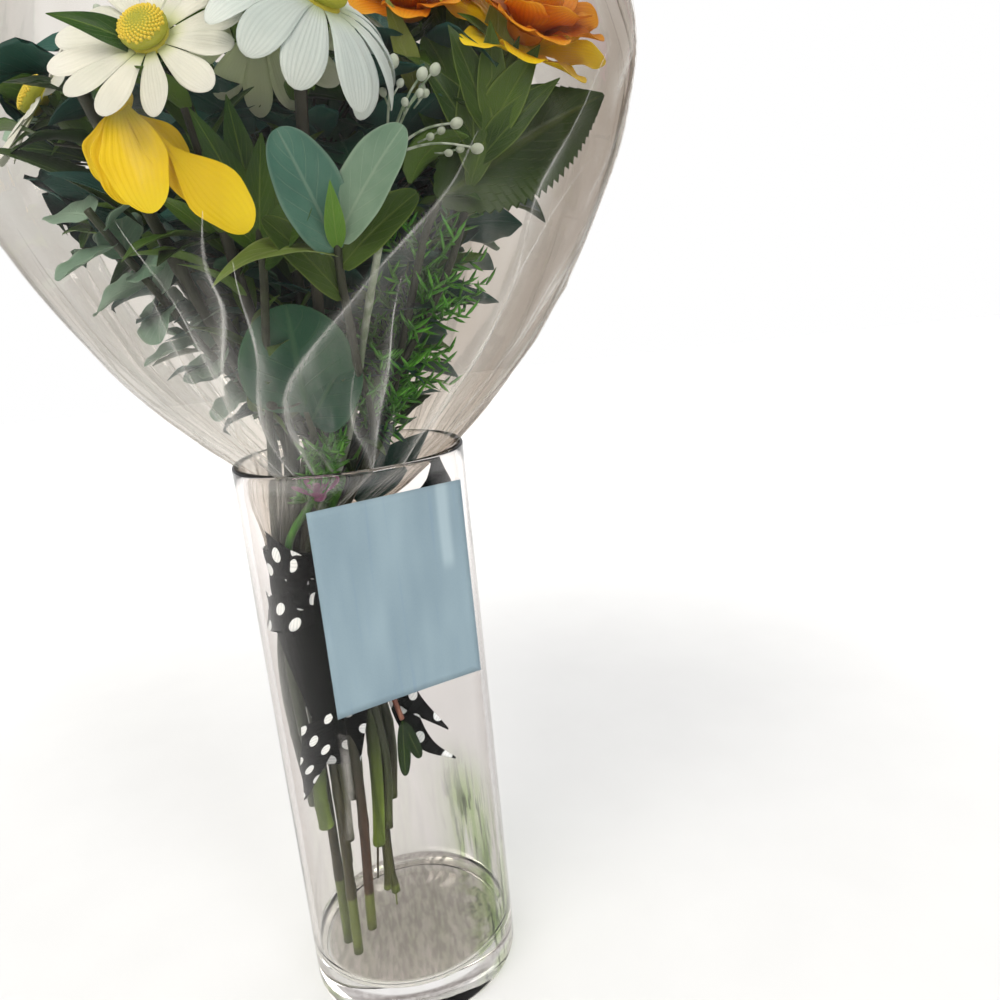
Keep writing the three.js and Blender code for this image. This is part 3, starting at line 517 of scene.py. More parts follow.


# The golden bloom's petals, from its head to each tip: tip, width, how long its narrow claw is, and tone,
# whose low values paint shade on that petal.
YELLOW_TIPS = [((-46.5, -97, 351.5), 19, 0.0, 0.9), ((-54, -91, 355), 16, 0.0, 0.7),
               ((-35.5, -95, 354), 7, 0.0, 0.1), ((-20.4, -96, 344.4), 18, 0.42, 0.6),
               ((-37, -86, 364), 13, 0.2, 0.3), ((-60, -84, 362), 14, 0.1, 0.6)]

# Leafy stems. `leaves` grow from a share of the stem's upper part to a tip, with their width and outline and,
# where they aren't the usual ones, the way they face, their bend and their own finish. `ring` leaves follow a
# rule, and `fronds` are their count, first share, lift and length.
TO_FRONT = (0, -0.9, 0.45)
SPRAYS = [
    dict(name="serrated_leaf_1", colour="dark", head=(44, -50, 354), facing=(0.5, -0.1, 0.85), foot=150,
         leaves=[(1, (111, -42, 388), 42, pointed, (0.15, -0.85, 0.35), 0.45)]),
    dict(name="serrated_leaf_2", colour="dark", head=(-56, -18, 348), facing=(-0.6, 0, 0.8), foot=160,
         leaves=[(1, (-110, -34, 384), 36, pointed, (-0.5, -0.3, 0.8), 0.7)]),
    dict(name="serrated_leaf_3", colour="dark", head=(24, 52, 352), facing=(0.1, 0.5, 0.85), foot=155,
         leaves=[(1, (48, 104, 392), 38, pointed, (0.1, -0.4, 0.9), 0.7)]),
    dict(name="sage_leaves_1", colour="sage", head=(5, -84, 340), facing=(0, -0.3, 0.95), foot=85,
         leaves=[(1, (29, -98, 371), 17, oval), (0.97, (-8.2, -96, 372.6), 21, oval, TO_FRONT, 0.4, "blue"),
                 (0.92, (31.8, -92, 352.6), 13, oval, TO_FRONT, 0.5, "olive"),
                 (0.98, (5.2, -99, 357), 6.5, pointed, TO_FRONT, 0.4, "bright"),
                 (0.96, (-34.7, -88, 329.6), 13, pointed, (-0.25, -0.5, 0.8), 1.3, "curl"),
                 (0.8, (-16.5, -88, 348.9), 12, oval, TO_FRONT, 0.5, "olive")]),
    dict(name="sage_leaves_2", colour="sage", head=(-24, 84, 380), facing=(-0.1, 0.4, 0.9), foot=160,
         ring=dict(count=16, start=0.2, lift=40, length=34, width=15, outline=oval)),
    dict(name="round_leaves_1", colour="sage", head=(-76, -46, 360), facing=(-0.4, -0.4, 0.8), foot=140,
         ring=dict(count=18, start=0.15, lift=22, length=25, width=19, outline=oval)),
    dict(name="round_leaves_2", colour="sage", head=(86, 6, 384), facing=(0.5, 0, 0.85), foot=150,
         ring=dict(count=17, start=0.15, lift=25, length=22, width=17, outline=oval)),
    dict(name="large_round_leaf", colour="leaf", head=(-14, -34, 282), facing=(-0.1, -0.2, 0.97), foot=170,
         leaves=[(1, (-15, -52, 323), 42, oval, TO_FRONT, 0.4), (0.8, (6, -46, 304), 28, oval)]),
    dict(name="dim_leaves_1", colour="teal", head=(32, -22, 396), facing=(0.2, -0.1, 0.97), foot=165,
         ring=dict(count=26, start=0.08, lift=34, length=52, width=32, outline=pointed)),
    dict(name="dim_leaves_2", colour="teal", head=(-44, 6, 360), facing=(-0.3, 0, 0.9), foot=165,
         ring=dict(count=24, start=0.08, lift=30, length=46, width=30, outline=pointed)),
    dict(name="dim_leaves_3", colour="teal", head=(66, 4, 394), facing=(0.3, 0, 0.95), foot=165,
         ring=dict(count=22, start=0.1, lift=36, length=48, width=34, outline=pointed)),
    dict(name="lance_leaves_1", colour="leaf", head=(-19, -76, 350), facing=(0, -0.2, 0.97), foot=150,
         leaves=[(1, (-22, -80, 386), 10, pointed), (0.97, (-33, -84, 382), 10, pointed),
                 (0.94, (-13, -84, 374), 10, pointed), (0.9, (-40, -84, 364), 9, pointed),
                 (0.86, (-1, -90, 352), 14, oval)]),
    dict(name="fern_1", colour="fern", head=(40, -30, 338), facing=(0.2, -0.1, 0.97), foot=172,
         fronds=(64, 0.02, 42, 22)),
    dict(name="fern_2", colour="fern", head=(-14, 52, 344), facing=(-0.1, 0.3, 0.95), foot=172,
         fronds=(50, 0.02, 42, 20)),
    dict(name="fern_3", colour="fern", head=(-9, -31, 267), facing=(0, -0.3, 0.95), foot=190,
         fronds=(22, 0.4, 24, 14)),
]
# Filler: sprays of tiny buds, one at each tip and two beside it.
FILLERS = [
    dict(name="filler_1", head=(25, -72, 366), facing=(0.1, -0.2, 0.95), foot=168,
         tips=[(30, -80, 393), (54, -80, 366), (38, -84, 388), (48, -80, 374), (44, -72, 392)]),
    dict(name="filler_2", head=(-52, 30, 412), facing=(-0.3, 0.2, 0.9), foot=168,
         tips=[(-62, 26, 446), (-76, 34, 436), (-58, 44, 444), (-44, 34, 440), (-72, 16, 440)]),
]


def fronds(points, count, first, lift, length):
    """Ferny foliage: side shoots a golden angle apart on the stem's upper part, each a thin curved stalk
    with needles that leave it left, right and up in turn and shorten towards its end."""
    root, axis = up_stem(points, count, first)
    _, along, face = leaning(axis, GOLDEN * np.arange(count) + rng.normal(0, 0.2, count),
                             lift + rng.normal(0, 12, count))
    small = np.clip(film_radius(root[:, 2], np.zeros(count)) / 80, 0.4, 1.15)
    reach = (length * small * rng.uniform(0.8, 1.25, count))[:, None, None]
    t = np.linspace(0, 1, 7)[None, :, None]
    stalks = root[:, None] + along[:, None] * reach * t - face[:, None] * reach * 0.16 * t ** 2
    shoot = tube(stalks, 0.5 * (1 - 0.7 * t[..., 0]), 5, tone=rng.uniform(0.2, 0.8, count))
    needles = 11
    k = np.arange(needles)
    s = (0.10 + 0.90 * k / (needles - 1))[None, :, None]
    base = root[:, None] + along[:, None] * reach * s - face[:, None] * reach * 0.16 * s ** 2
    side = np.cross(along, face)
    spin = (k * 2.09 + 0.4)[None, :, None]
    spread = side[:, None] * np.cos(spin) + face[:, None] * np.sin(spin)
    head = unit(along[:, None] * 0.75 + spread * 0.9 + rng.normal(0, 0.15, (count, needles, 3)))
    size = (0.62 * length * (1 - 0.45 * s)) * rng.uniform(0.7, 1.15, (count, needles, 1))
    q = np.linspace(0, 1, 4)[None, :, None]
    line = base.reshape(-1, 1, 3) + head.reshape(-1, 1, 3) * size.reshape(-1, 1, 1) * q
    line = line + UP * (size.reshape(-1, 1, 1) * 0.12 * q ** 2)
    leaf = tube(line, np.array([0.38, 0.66, 0.54, 0.05])[None], 4, tone=rng.uniform(0.2, 1, count * needles))
    return [shoot, leaf]


def undergrowth(count, low, high, reach, size, outline=pointed, turns=(-180, 180), front=0.5, inner=0.12):
    """Leaves among the stems: each stands on its own thin twig at a random height and turn, at a share of
    the film's radius from `inner` up that is smaller in front and low on the right, and arches outwards and
    down."""
    z = rng.uniform(low, high, count)
    turn = np.radians(rng.uniform(*turns, count))
    room = film_radius(z, turn)
    ahead = np.exp(-((np.mod(turn + np.pi / 2 + np.pi, 2 * np.pi) - np.pi) / 1.1) ** 2)
    ahead = ahead * (1 + 0.35 * ease(z, 340, 300))
    right = np.exp(-((turn + 0.3) / 0.8) ** 2) * ease(z, 375, 345)
    share = rng.uniform(inner, 1, count) * np.maximum(0.15, reach + (front - reach) * ahead)
    share = share * (1 - 0.4 * right)
    out = np.stack([np.cos(turn), np.sin(turn), 0 * turn], 1)
    centre = np.concatenate([film_middle(z), z[:, None]], 1)
    root = centre + out * (room * share)[:, None]
    small = np.clip(room / 95, 0.35, 1)
    tilt = np.radians(rng.uniform(5, 75, count))[:, None]
    level = unit(out + 0.6 * rng.normal(0, 1, (count, 3)) * np.array([1, 1, 0]))
    along = level * np.cos(tilt) + UP * np.sin(tilt)
    face = UP * np.cos(tilt) - level * np.sin(tilt)
    long, wide = size
    leaves = blades(root, along, face, long * small * rng.uniform(0.75, 1.1, count),
                    wide * small * rng.uniform(0.8, 1.1, count), outline, bend=rng.uniform(0.4, 1.5, count),
                    cup=0.25, rows=12, cols=6, ruffle=0.08, sway=rng.normal(0, 0.08, count),
                    twist=rng.normal(0, 0.5, count), tone=rng.uniform(0, 1, count))
    t = np.linspace(0, 1, 6)[None, :, None]
    start = centre + out * (room * share * 0.35)[:, None] - UP * (22 * small)[:, None]
    twigs = start[:, None] + (root - start)[:, None] * t + UP * 4 * np.sin(np.pi * t)
    return keep_inside(leaves, 3.0), keep_inside(tube(twigs, 0.55 + 0 * t[..., 0], 5, tone=0.4), 4.0)


# ---- Finishes ----
class Value:
    """A number or colour inside a finish. A sum with it adds the shader node that works the sum out."""

    def __init__(self, tree, socket):
        self.tree, self.socket = tree, socket

    def calc(self, operation, *others):
        """One sum on numbers, with this one first."""
        return node(self.tree, "Math", dict(enumerate((self, *others))), operation=operation)

    __add__ = lambda self, other: self.calc("ADD", other)
    __sub__ = lambda self, other: self.calc("SUBTRACT", other)
    __mul__ = lambda self, other: self.calc("MULTIPLY", other)
    __truediv__ = lambda self, other: self.calc("DIVIDE", other)

    def span(self, low, high, to_low=0.0, to_high=1.0):
        """A smooth step of this number from one range to another."""
        return node(self.tree, "MapRange", {0: self, 1: low, 2: high, 3: to_low, 4: to_high},
                    interpolation_type="SMOOTHSTEP")

    def mix(self, colour, other):
        """This share of another colour blended into a colour."""
        return node(self.tree, "Mix", {0: self, 6: colour, 7: other}, out=2, data_type="RGBA")


def node(tree, kind, values=None, out=0, **settings):
    """Adds a shader node, sets or feeds its inputs, and returns one output, or a list of them for a tuple."""
    made = tree.nodes.new("ShaderNode" + kind)
    for key, value in settings.items():
        setattr(made, key, value)
    for key, value in (values or {}).items():
        if isinstance(value, Value):
            tree.links.new(value.socket, made.inputs[key])
        else:
            is_colour = made.inputs[key].type == "RGBA"
            made.inputs[key].default_value = (*value, 1) if is_colour else value
    if isinstance(out, tuple):
        return [Value(tree, made.outputs[k]) for k in out]
    return Value(tree, made.outputs[out])


def new_finish(name):
    """An empty material and its node tree."""
    finish = bpy.data.materials.new(name)
    finish.use_nodes = True
    finish.node_tree.nodes.clear()
    return finish, finish.node_tree


def show(tree, shader):
    """Gives the finished shader to the material's output."""
    tree.links.new(shader.socket, tree.nodes.new("ShaderNodeOutputMaterial").inputs[0])


def noise(tree, scale, detail=3.0, stretch=(1, 1, 1), where="Object", rough=0.5, turn=(0, 0, 0)):
    """Soft noise on the piece's own coordinates, turned and stretched as given."""
    place = node(tree, "Mapping", {0: node(tree, "TexCoord", out=where), 2: turn, 3: stretch})
    return node(tree, "TexNoise", {"Vector": place, "Scale": scale, "Detail": detail, "Roughness": rough})


def mark(tree, name):
    """A number stored on the mesh: `tone`, or `under` on undersides and the film's veils."""
    return node(tree, "Attribute", attribute_name=name, out="Fac")


def pattern_place(tree):
    """Across and along on the piece's own pattern map."""
    return node(tree, "SeparateXYZ", {0: node(tree, "UVMap", uv_map="pattern")}, out=(0, 1))


def position(tree, where="Object"):
    """The three coordinates of a place on the piece, in metres."""
    return node(tree, "SeparateXYZ", {0: node(tree, "TexCoord", out=where)}, out=(0, 1, 2))


def surface(tree, colour, rough, height, lift, strength, thin=0.0, gloss=0.5, **more):
    """The shader of an opaque finish, with its relief, and a share of light let through from behind."""
    normal = node(tree, "Bump", {"Height": height, "Strength": strength, "Distance": lift})
    shader = node(tree, "BsdfPrincipled", {"Base Color": colour, "Roughness": rough, "Normal": normal,
                                           "Specular IOR Level": gloss, **more})
    if thin:
        glow = node(tree, "BsdfTranslucent", {"Color": colour})
        shader = node(tree, "MixShader", {0: thin, 1: shader, 2: glow})
    show(tree, shader)


def leaf_finish(name, deep, bright, vein, under, pairs=7.0, slope=3.0, rough=0.42, rim=0.0, thin=0.12,
                veins=0.5, midrib=0.09):
    """A leaf: patches of two greens, a pale midrib, side veins that slant to the edge, a paler underside and
    a rim, with the veins sunk into the surface."""
    finish, tree = new_finish(name)
    u, v = pattern_place(tree)
    across = (u - 0.5).calc("ABSOLUTE") * 2.0
    run = (v * pairs - across * slope).calc("FRACT")
    side = (run - 0.5).calc("ABSOLUTE").span(0.07, 0.01) * across.span(1.0, 0.5)
    lines = across.span(midrib, 0.2 * midrib).calc("MAXIMUM", side * 0.65)
    cloud, fleck = noise(tree, 42.0, 4.0), noise(tree, 700.0, 2.0)
    colour = (mark(tree, "tone") * 0.7 + cloud * 0.9).span(0.45, 1.15).mix(deep, bright)
    colour = (lines * veins).mix(colour, vein)
    colour = (across.span(0.84, 0.99) * rim).mix(colour, vein)
    colour = (mark(tree, "under") * 0.65).mix(colour, under)
    colour = (fleck * 0.18).mix(colour, deep)
    surface(tree, colour, cloud.span(0.3, 0.7, rough - 0.08, rough + 0.1), fleck * 0.35 - lines,
            0.0005, 0.45, thin, 0.3)
    return finish


def petal_finish(name, base, body, tip, shade, thin=0.3, lines=0.12):
    """A petal: one colour at its root, one along its body and one at its tip, fine lengthwise lines, and
    painted shade on some petals, set by their tone, and in soft clouds."""
    finish, tree = new_finish(name)
    u, v = pattern_place(tree)
    cloud = noise(tree, 60.0)
    stripe = (u * 58.0 + cloud * 5.0).calc("SINE").span(-0.6, 1.0)
    colour = v.span(0.6, 1.0).mix(body, tip)
    colour = v.span(0.35, 0.02).mix(colour, base)
    # painted shade: a low tone and the soft clouds blend the shade colour in
    grey = mark(tree, "tone").span(0.7, 0.2) * 0.3 + cloud.span(0.6, 0.4) * 0.16
    colour = (stripe * lines).mix(grey.mix(colour, shade), shade)
    surface(tree, colour, 0.55, stripe + noise(tree, 900.0, 2.0) * 0.6, 0.0003, 0.35, thin)
    return finish


def stem_finish(name, low, high, speck, rough=0.5, dim=0.0):
    """A stalk: two colours by tone and cloud, streaked lengthwise with fine specks. Where a share of painted
    shade is given, the stalk is painted dark by that share above 75 mm, standing in for the shade high on the
    stems, and turns greener below a joint at about 54 mm."""
    finish, tree = new_finish(name)
    streak, cloud = noise(tree, 260.0, stretch=(1, 1, 0.05)), noise(tree, 40.0)
    tone = mark(tree, "tone")
    colour = (tone * 0.8 + cloud * 0.5).span(0.3, 1.0).mix(low, high)
    colour = (streak.span(0.42, 0.66) * 0.85).mix(colour, speck)
    if dim:
        height = position(tree)[2]
        # painted shade: dark above 75 mm, where the stems stand in shade
        colour = (height.span(0.075, 0.135) * dim).mix(colour, (0.008, 0.014, 0.004))
        joint = (height + tone * 0.012).span(0.0540, 0.0525)
        colour = (joint * 0.65).mix(colour, (0.13, 0.17, 0.035))
    surface(tree, colour, streak.span(0.3, 0.7, rough - 0.1, rough + 0.12), streak, 0.0004, 0.5)
    return finish


def floret_finish():
    """The daisy's disc: green in the middle and golden outside, with grainy shade between the buds."""
    finish, tree = new_finish("daisy_disc")
    grain = noise(tree, 1400.0, 2.0)
    colour = mark(tree, "tone").span(0.15, 0.8).mix((0.30, 0.32, 0.02), (0.80, 0.60, 0.06))
    surface(tree, (grain * 0.35).mix(colour, (0.55, 0.50, 0.05)), 0.7, grain, 0.0003, 0.5)
    return finish


def ribbon_finish(name, dots):
    """Ribbed black ribbon: fine ribs, across it where it is printed with round white dots on a staggered
    grid, and along it where it is plain, with painted sheen on the tops of the ribs and painted shade between
    them. The pattern map is in centimetres, across and along."""
    finish, tree = new_finish(name)
    u, v = pattern_place(tree)
    thread = noise(tree, 1.0, 3.0, (0.4, 9, 1) if dots else (9, 0.25, 1), "UV")
    run, light = (v * 42.0, (0.007, 0.008, 0.008)) if dots else (u * 29.0, (0.005, 0.007, 0.006))
    weave = (run + thread * 3.0).calc("SINE") + thread * 1.6
    # painted sheen and shade: the black is lighter on the rib tops and darker between them
    colour = weave.span(0.0, 2.0).mix((0.0004, 0.0005, 0.0005), light)
    if dots:
        apart, row_apart = 1.6, 0.85
        row = v / row_apart
        shift = row.calc("FLOOR").calc("MODULO", 2.0) * 0.5
        x = ((u / apart + shift).calc("FRACT") - 0.5) * apart
        y = (row.calc("FRACT") - 0.5) * row_apart
        far = (x * x + y * y).calc("SQRT") + thread * 0.012
        # painted sheen and shade on the dots too: whiter on the rib tops, greyer between them
        white = weave.span(-1.0, 1.5).mix((0.62, 0.66, 0.68), (0.86, 0.88, 0.88))
        colour = far.span(0.285, 0.262).mix(colour, white)
    surface(tree, colour, weave.span(-1.0, 1.5, 0.85, 0.65), weave, 0.0002, 0.35 if dots else 0.12,
            gloss=0.02)
    return finish


def paper_finish():
    """Pale blue-grey paper, painted darker as the shade the note stands in: faint smudges that run down it, a
    pale streak near one edge, and fine fibres.
    """
    finish, tree = new_finish("note_paper")
    u, v = pattern_place(tree)
    smudge, streak = noise(tree, 2.0, 2.0, (1.6, 0.6, 1), "UV"), noise(tree, 3.0, 2.0, (8, 0.45, 1), "UV")
    fibre = noise(tree, 1500.0, 2.0)
    bar = u.span(0.80, 0.84) * u.span(0.92, 0.87) * v.span(0.45, 0.36)
    # painted shade: the paper's pale blue-grey is laid on dark, as the note stands in shade
    colour = smudge.span(0.3, 0.7).mix((0.17, 0.245, 0.29), (0.23, 0.315, 0.36))
    colour = (streak.span(0.55, 0.8) * 0.3).mix(colour, (0.12, 0.20, 0.32))
    colour = (bar * 0.4).mix(colour, (0.46, 0.56, 0.60))
    surface(tree, (fibre * 0.15).mix(colour, (0.34, 0.42, 0.46)), 0.62, fibre, 0.0001, 0.3)
    return finish


def glass_finish():
    """Clear glass with a faint beige tint that deepens where it is seen edge on: grey-brown and finely
    grained in its thick floor, with slanting green streaks of painted reflection low on the wall, mostly on
    its right, that fade upwards, faintly rippled, bright at its rim, and letting lamps through to what it
    holds."""
    finish, tree = new_finish("clear_glass")
    x, _, height = position(tree)
    slant = dict(stretch=(1, 1, 0.12), turn=(0.0, 0.35, 0.0))
    # painted reflection: green streaks low on the wall, mostly on the right
    low = height.span(0.10, 0.05) * noise(tree, 105.0, **slant).span(0.42, 0.54)
    low = low * x.span(0.020, 0.038, 0.1, 1.0)
    green = noise(tree, 260.0, 2.0, **slant).span(0.53, 0.6).mix((0.50, 0.62, 0.32), (0.09, 0.12, 0.06))
    grain = noise(tree, 420.0, stretch=(1, 0.25, 1))
    floor = grain.span(0.35, 0.65).mix((0.25, 0.225, 0.212), (0.45, 0.41, 0.39))
    inside = height.span(0.0182, 0.0168) * height.span(0.010, 0.014)
    edge_on = node(tree, "LayerWeight", {"Blend": 0.5}, out="Facing").span(0.55, 0.95)
    tint = inside.mix(low.mix((0.885, 0.862, 0.850), green), floor)
    ripple = noise(tree, 34.0, 2.0, (1, 1, 0.22))
    streak = noise(tree, 160.0, stretch=(1, 1, 0.1))
    glass = node(tree, "BsdfPrincipled", {
        "Base Color": edge_on.mix(tint, (0.52, 0.44, 0.40)), "Roughness": streak.span(0.45, 0.75, 0.0, 0.03),
        "Transmission Weight": 1.0, "IOR": 1.46, "Specular Tint": height.span(0.2505, 0.2535, 0.14, 0.95),
        "Normal": node(tree, "Bump", {"Height": ripple, "Strength": 0.14, "Distance": 0.0012})})
    clear = node(tree, "BsdfTransparent", {0: (0.84, 0.85, 0.83)})
    path = node(tree, "LightPath", out="Is Shadow Ray")
    show(tree, node(tree, "MixShader", {0: path, 1: glass, 2: clear}))
    return finish


def film_finish():
    """Clear film: see-through with a beige tint that deepens in soft bands and where the film turns away on
    its right, a grey haze on its folded parts and low on its left, pale lines painted along the folds as
    highlights, fine streaks of painted glint low down, and more haze where it is seen edge on, painted in
    place of its grazing reflection."""
    finish, tree = new_finish("clear_film")
    fold, veil = mark(tree, "tone"), mark(tree, "under")
    u, v = pattern_place(tree)
    band = noise(tree, 1.0, 3.0, (13, 1.3, 1), "UV")
    fine = noise(tree, 1.0, 4.0, (44, 5.0, 1), "UV", 0.6)
    low = v.span(0.78, 0.3)
    right = u.span(0.33, 0.42) * u.span(0.78, 0.66)
    left = u.span(0.02, 0.09) * u.span(0.225, 0.165) * (v.span(0.56, 0.36) * v.span(0.15, 0.27))
    tint = (band.span(0.35, 0.65) * 0.55 + low * 0.35 + right * 0.5).calc("MINIMUM", 1.0)
    deep = right.mix((0.75, 0.705, 0.65), (0.66, 0.605, 0.55))
    edge_on = node(tree, "LayerWeight", {"Blend": 0.3}, out="Facing").span(0.72, 1.0)
    # painted highlight: the folds add a little pale haze
    haze = band.span(0.5, 0.75) * (low * 0.03 + 0.004) + fold * 0.07
    haze = haze + veil * fine.span(0.3, 0.7, 0.13, 0.36) + left * band.span(0.3, 0.7, 0.08, 0.28)
    # painted glint in fine streaks, stronger low down, and haze where the film is seen edge on, painted in
    # place of its grazing reflection
    haze = haze + fine.span(0.56, 0.78) * (low * 0.12 + 0.01) + edge_on * 0.45
    colour = fine.span(0.35, 0.7).mix((0.58, 0.55, 0.50), (0.86, 0.85, 0.81))
    colour = (veil * 0.7).mix(colour, (0.43, 0.43, 0.37))
    # painted highlight: pale colour along the folds; the haze low on the left is pale too
    colour = fold.calc("MAXIMUM", left).mix(colour, (0.88, 0.88, 0.84))
    normal = node(tree, "Bump", {"Height": band + fine * 0.4, "Strength": 0.3, "Distance": 0.002})
    body = node(tree, "BsdfPrincipled", {"Base Color": colour, "Roughness": fine.span(0.3, 0.7, 0.16, 0.3),
                                         "Normal": normal, "Specular IOR Level": 0.7})
    clear = node(tree, "BsdfTransparent", {0: tint.mix((0.95, 0.935, 0.91), deep)})
    gloss = node(tree, "BsdfGlossy", {"Color": (1, 1, 1), "Roughness": 0.09, "Normal": normal})
    edge = node(tree, "Fresnel", {"IOR": 1.33, "Normal": normal}) * 0.25
    sheet = node(tree, "MixShader", {0: (haze + 0.004).calc("MINIMUM", 0.8), 1: clear, 2: body})
    show(tree, node(tree, "MixShader", {0: edge, 1: sheet, 2: gloss}))
    return finish


def crease_finish():
    """The crease along a fold in the film: a pale line of painted highlight, strongest in its middle, that
    comes and goes.
    """
    finish, tree = new_finish("film_crease_highlight")
    middle = (pattern_place(tree)[0] * 2.0 - 1.0).calc("ABSOLUTE")
    patchy = noise(tree, 60.0)
    share = (mark(tree, "tone") * 0.30 + 0.06) * middle.span(1.0, 0.1) * patchy.span(0.3, 0.65, 0.25, 1.0)
    colour = patchy.mix((0.74, 0.72, 0.67), (0.92, 0.91, 0.88))
    body = node(tree, "BsdfPrincipled", {"Base Color": colour, "Roughness": 0.18, "Specular IOR Level": 0.7})
    clear = node(tree, "BsdfTransparent", {0: (0.98, 0.97, 0.96)})
    show(tree, node(tree, "MixShader", {0: share, 1: clear, 2: body}))
    return finish


def floor_finish():
    """A plain pale floor with the faintest grain, painted paler far from the vase, where less light falls,
    and given a faint glow of painted light that grows far away and also lightens the shadows near the vase."""
    finish, tree = new_finish("pale_floor")
    grain = noise(tree, 20.0, 2.0)
    far = node(tree, "VectorMath", {0: node(tree, "TexCoord", out="Object")}, out=1, operation="LENGTH")
    near = grain.mix((0.56, 0.557, 0.552), (0.595, 0.592, 0.587))
    # painted light: paler far away, and a glow that lightens cast shadows
    colour = far.span(0.25, 1.1).mix(near, (0.90, 0.897, 0.892))
    surface(tree, colour, 0.8, grain, 0.0002, 0.1, gloss=0.1,
            **{"Emission Color": (1, 1, 1), "Emission Strength": far.span(0.2, 2.6, 0.09, 0.17)})
    return finish


# ---- Camera, light and floor ----
def place_camera():
    """The photograph's viewpoint: 365 mm before the vase and 321 mm up, panned, tipped down and rolled."""
    pan, tip, roll = -0.175389, 0.248716, -0.0940357
    back = np.array([math.sin(pan) * math.cos(tip), -math.cos(pan) * math.cos(tip), math.sin(tip)])
    right = unit(np.cross(-back, [0, 0, 1]))
    up = np.cross(right, -back)
    level = math.cos(roll) * right + math.sin(roll) * up
    upright = math.cos(roll) * up - math.sin(roll) * right
    data = bpy.data.cameras.new("camera")
    data.sensor_width, data.lens, data.clip_start, data.clip_end = 36, 29.90, 0.01, 30
    camera = bpy.data.objects.new("camera", data)
    bpy.context.scene.collection.objects.link(camera)
    turned = np.eye(4)
    turned[:3, :4] = np.column_stack([level, upright, back, [0, -0.36546, 0.32143]])
    camera.matrix_world = Matrix(turned.tolist())
    bpy.context.scene.camera = camera


def place_lights():
    """A studio sky that is white where it is seen directly or through glass, and lights the flowers from
    behind and overhead more than from in front and below. A soft lamp stands high on the left, a weaker one
    behind on the right and a faint one in front."""
    world = bpy.data.worlds.new("pale_room")
    bpy.context.scene.world = world
    world.use_nodes = True
    tree = world.node_tree
    _, y, z = position(tree, "Generated")
    glossy, mirror, seen, through = node(tree, "LightPath", out=(
        "Is Glossy Ray", "Is Reflection Ray", "Is Camera Ray", "Is Transmission Ray"))
    level = y.span(-0.6, 0.3, 0.22, 1.0).calc("MAXIMUM", z.span(0.25, 0.9)) * (glossy * mirror * -0.6 + 1.0)
    colour = level.mix((0.0, 0.0, 0.0), (0.98, 0.985, 1.0))
    colour = seen.calc("MAXIMUM", through).mix(colour, (1.0, 1.0, 1.0))
    tree.links.new(colour.socket, tree.nodes["Background"].inputs[0])
    tree.nodes["Background"].inputs[1].default_value = 1.0
    lamps = [("key", (-1.5, -1.8, 2.6), 2.5, 98, (1.0, 0.97, 0.90)),
             ("back", (2.0, 1.8, 2.2), 1.2, 26, (1.0, 0.98, 0.95)),
             ("front", (1.6, -2.6, 1.9), 1.2, 44, (0.96, 0.98, 1.0))]
    for name, place, size, power, tone in lamps:
        data = bpy.data.lights.new(name, "AREA")
        data.size, data.energy, data.color = size, power, tone
        lamp = bpy.data.objects.new(name, data)
        bpy.context.scene.collection.objects.link(lamp)
        lamp.location = place
        lamp.rotation_mode = "QUATERNION"
        lamp.rotation_quaternion = (Vector(place) - Vector((0, 0, 0.32))).to_track_quat("Z", "Y")
    bpy.context.scene.view_settings.view_transform = "Standard"


def lay_floor():
    """A flat square floor just under the vase."""
    side, height = 6000, -0.05
    v, u = np.mgrid[0:9, 0:9]
    points = np.stack([(u / 8 - 0.5) * side, (v / 8 - 0.5) * side, np.full(u.shape, height)], -1)
    floor = make("floor", [(lay(points), floor_finish())], weld=False)


# ---- Vase and note ----
def vase():
    """The vase: a profile turned about the axis. It runs out under the foot, round the foot's edge, up the
    wall, over a round rim, down inside and in across the raised floor."""
    radius, height, wall, floor, foot = (VASE[k] for k in ("radius", "height", "wall", "floor", "foot"))
    arc = lambda cx, cz, r, a, b, n: [(cx + r * math.cos(t), cz + r * math.sin(t))
                                      for t in np.radians(np.linspace(a, b, n))]
    inner = radius - wall
    profile = [(0, 0.6), (radius - foot - 3, 0.4), (radius - foot - 1.5, 0)]
    profile += arc(radius - foot, foot, foot, -90, 0, 9)
    profile += [(radius, z) for z in np.linspace(10, height - wall, 24)]
    profile += arc(radius - wall / 2, height - wall / 2, wall / 2, 0, 180, 11)
    profile += [(inner, z) for z in np.linspace(height - wall - 6, floor + 12, 20)]
    profile += arc(inner - 9, floor + 9, 9, 0, -90, 11)
    profile += [(r, floor + 0.12) for r in np.linspace(inner - 14, 0, 6)]
    r, z = np.array(profile).T[..., None]
    turn = around(144)
    points = np.stack([r * np.cos(turn), r * np.sin(turn), z + 0 * turn], -1)
    make("clear_vase", [(lay(points, wrap=True), glass_finish())], ["glass_vase"])


def note():
    """The blank note: a flat sheet that touches the vase along one line, with corners that lift a little."""
    turn, shift, width, low, high = math.radians(-69.9), -6, 65, 163.7, 248
    normal = np.array([math.cos(turn), math.sin(turn), 0])
    side = np.array([-normal[1], normal[0], 0])
    v, u = np.mgrid[0:29, 0:25]
    u, v = u / 24, v / 28
    curl = 0.5 * (np.abs(2 * u - 1) ** 3) * (0.4 + 0.6 * v) + 0.12 * np.sin(5 * v + 3 * u)
    out, across = VASE["radius"] + GAP + 0.3 + curl, shift + (u - 0.5) * width
    points = normal * out[..., None] + side * across[..., None] + UP * (high - v * (high - low))[..., None]
    sheet = make("blank_note", [(lay(points, uv=np.stack([u, v], -1)), paper_finish())],
                 ["paper_note"], weld=False)
    thicken(sheet, "paper", 0.35)


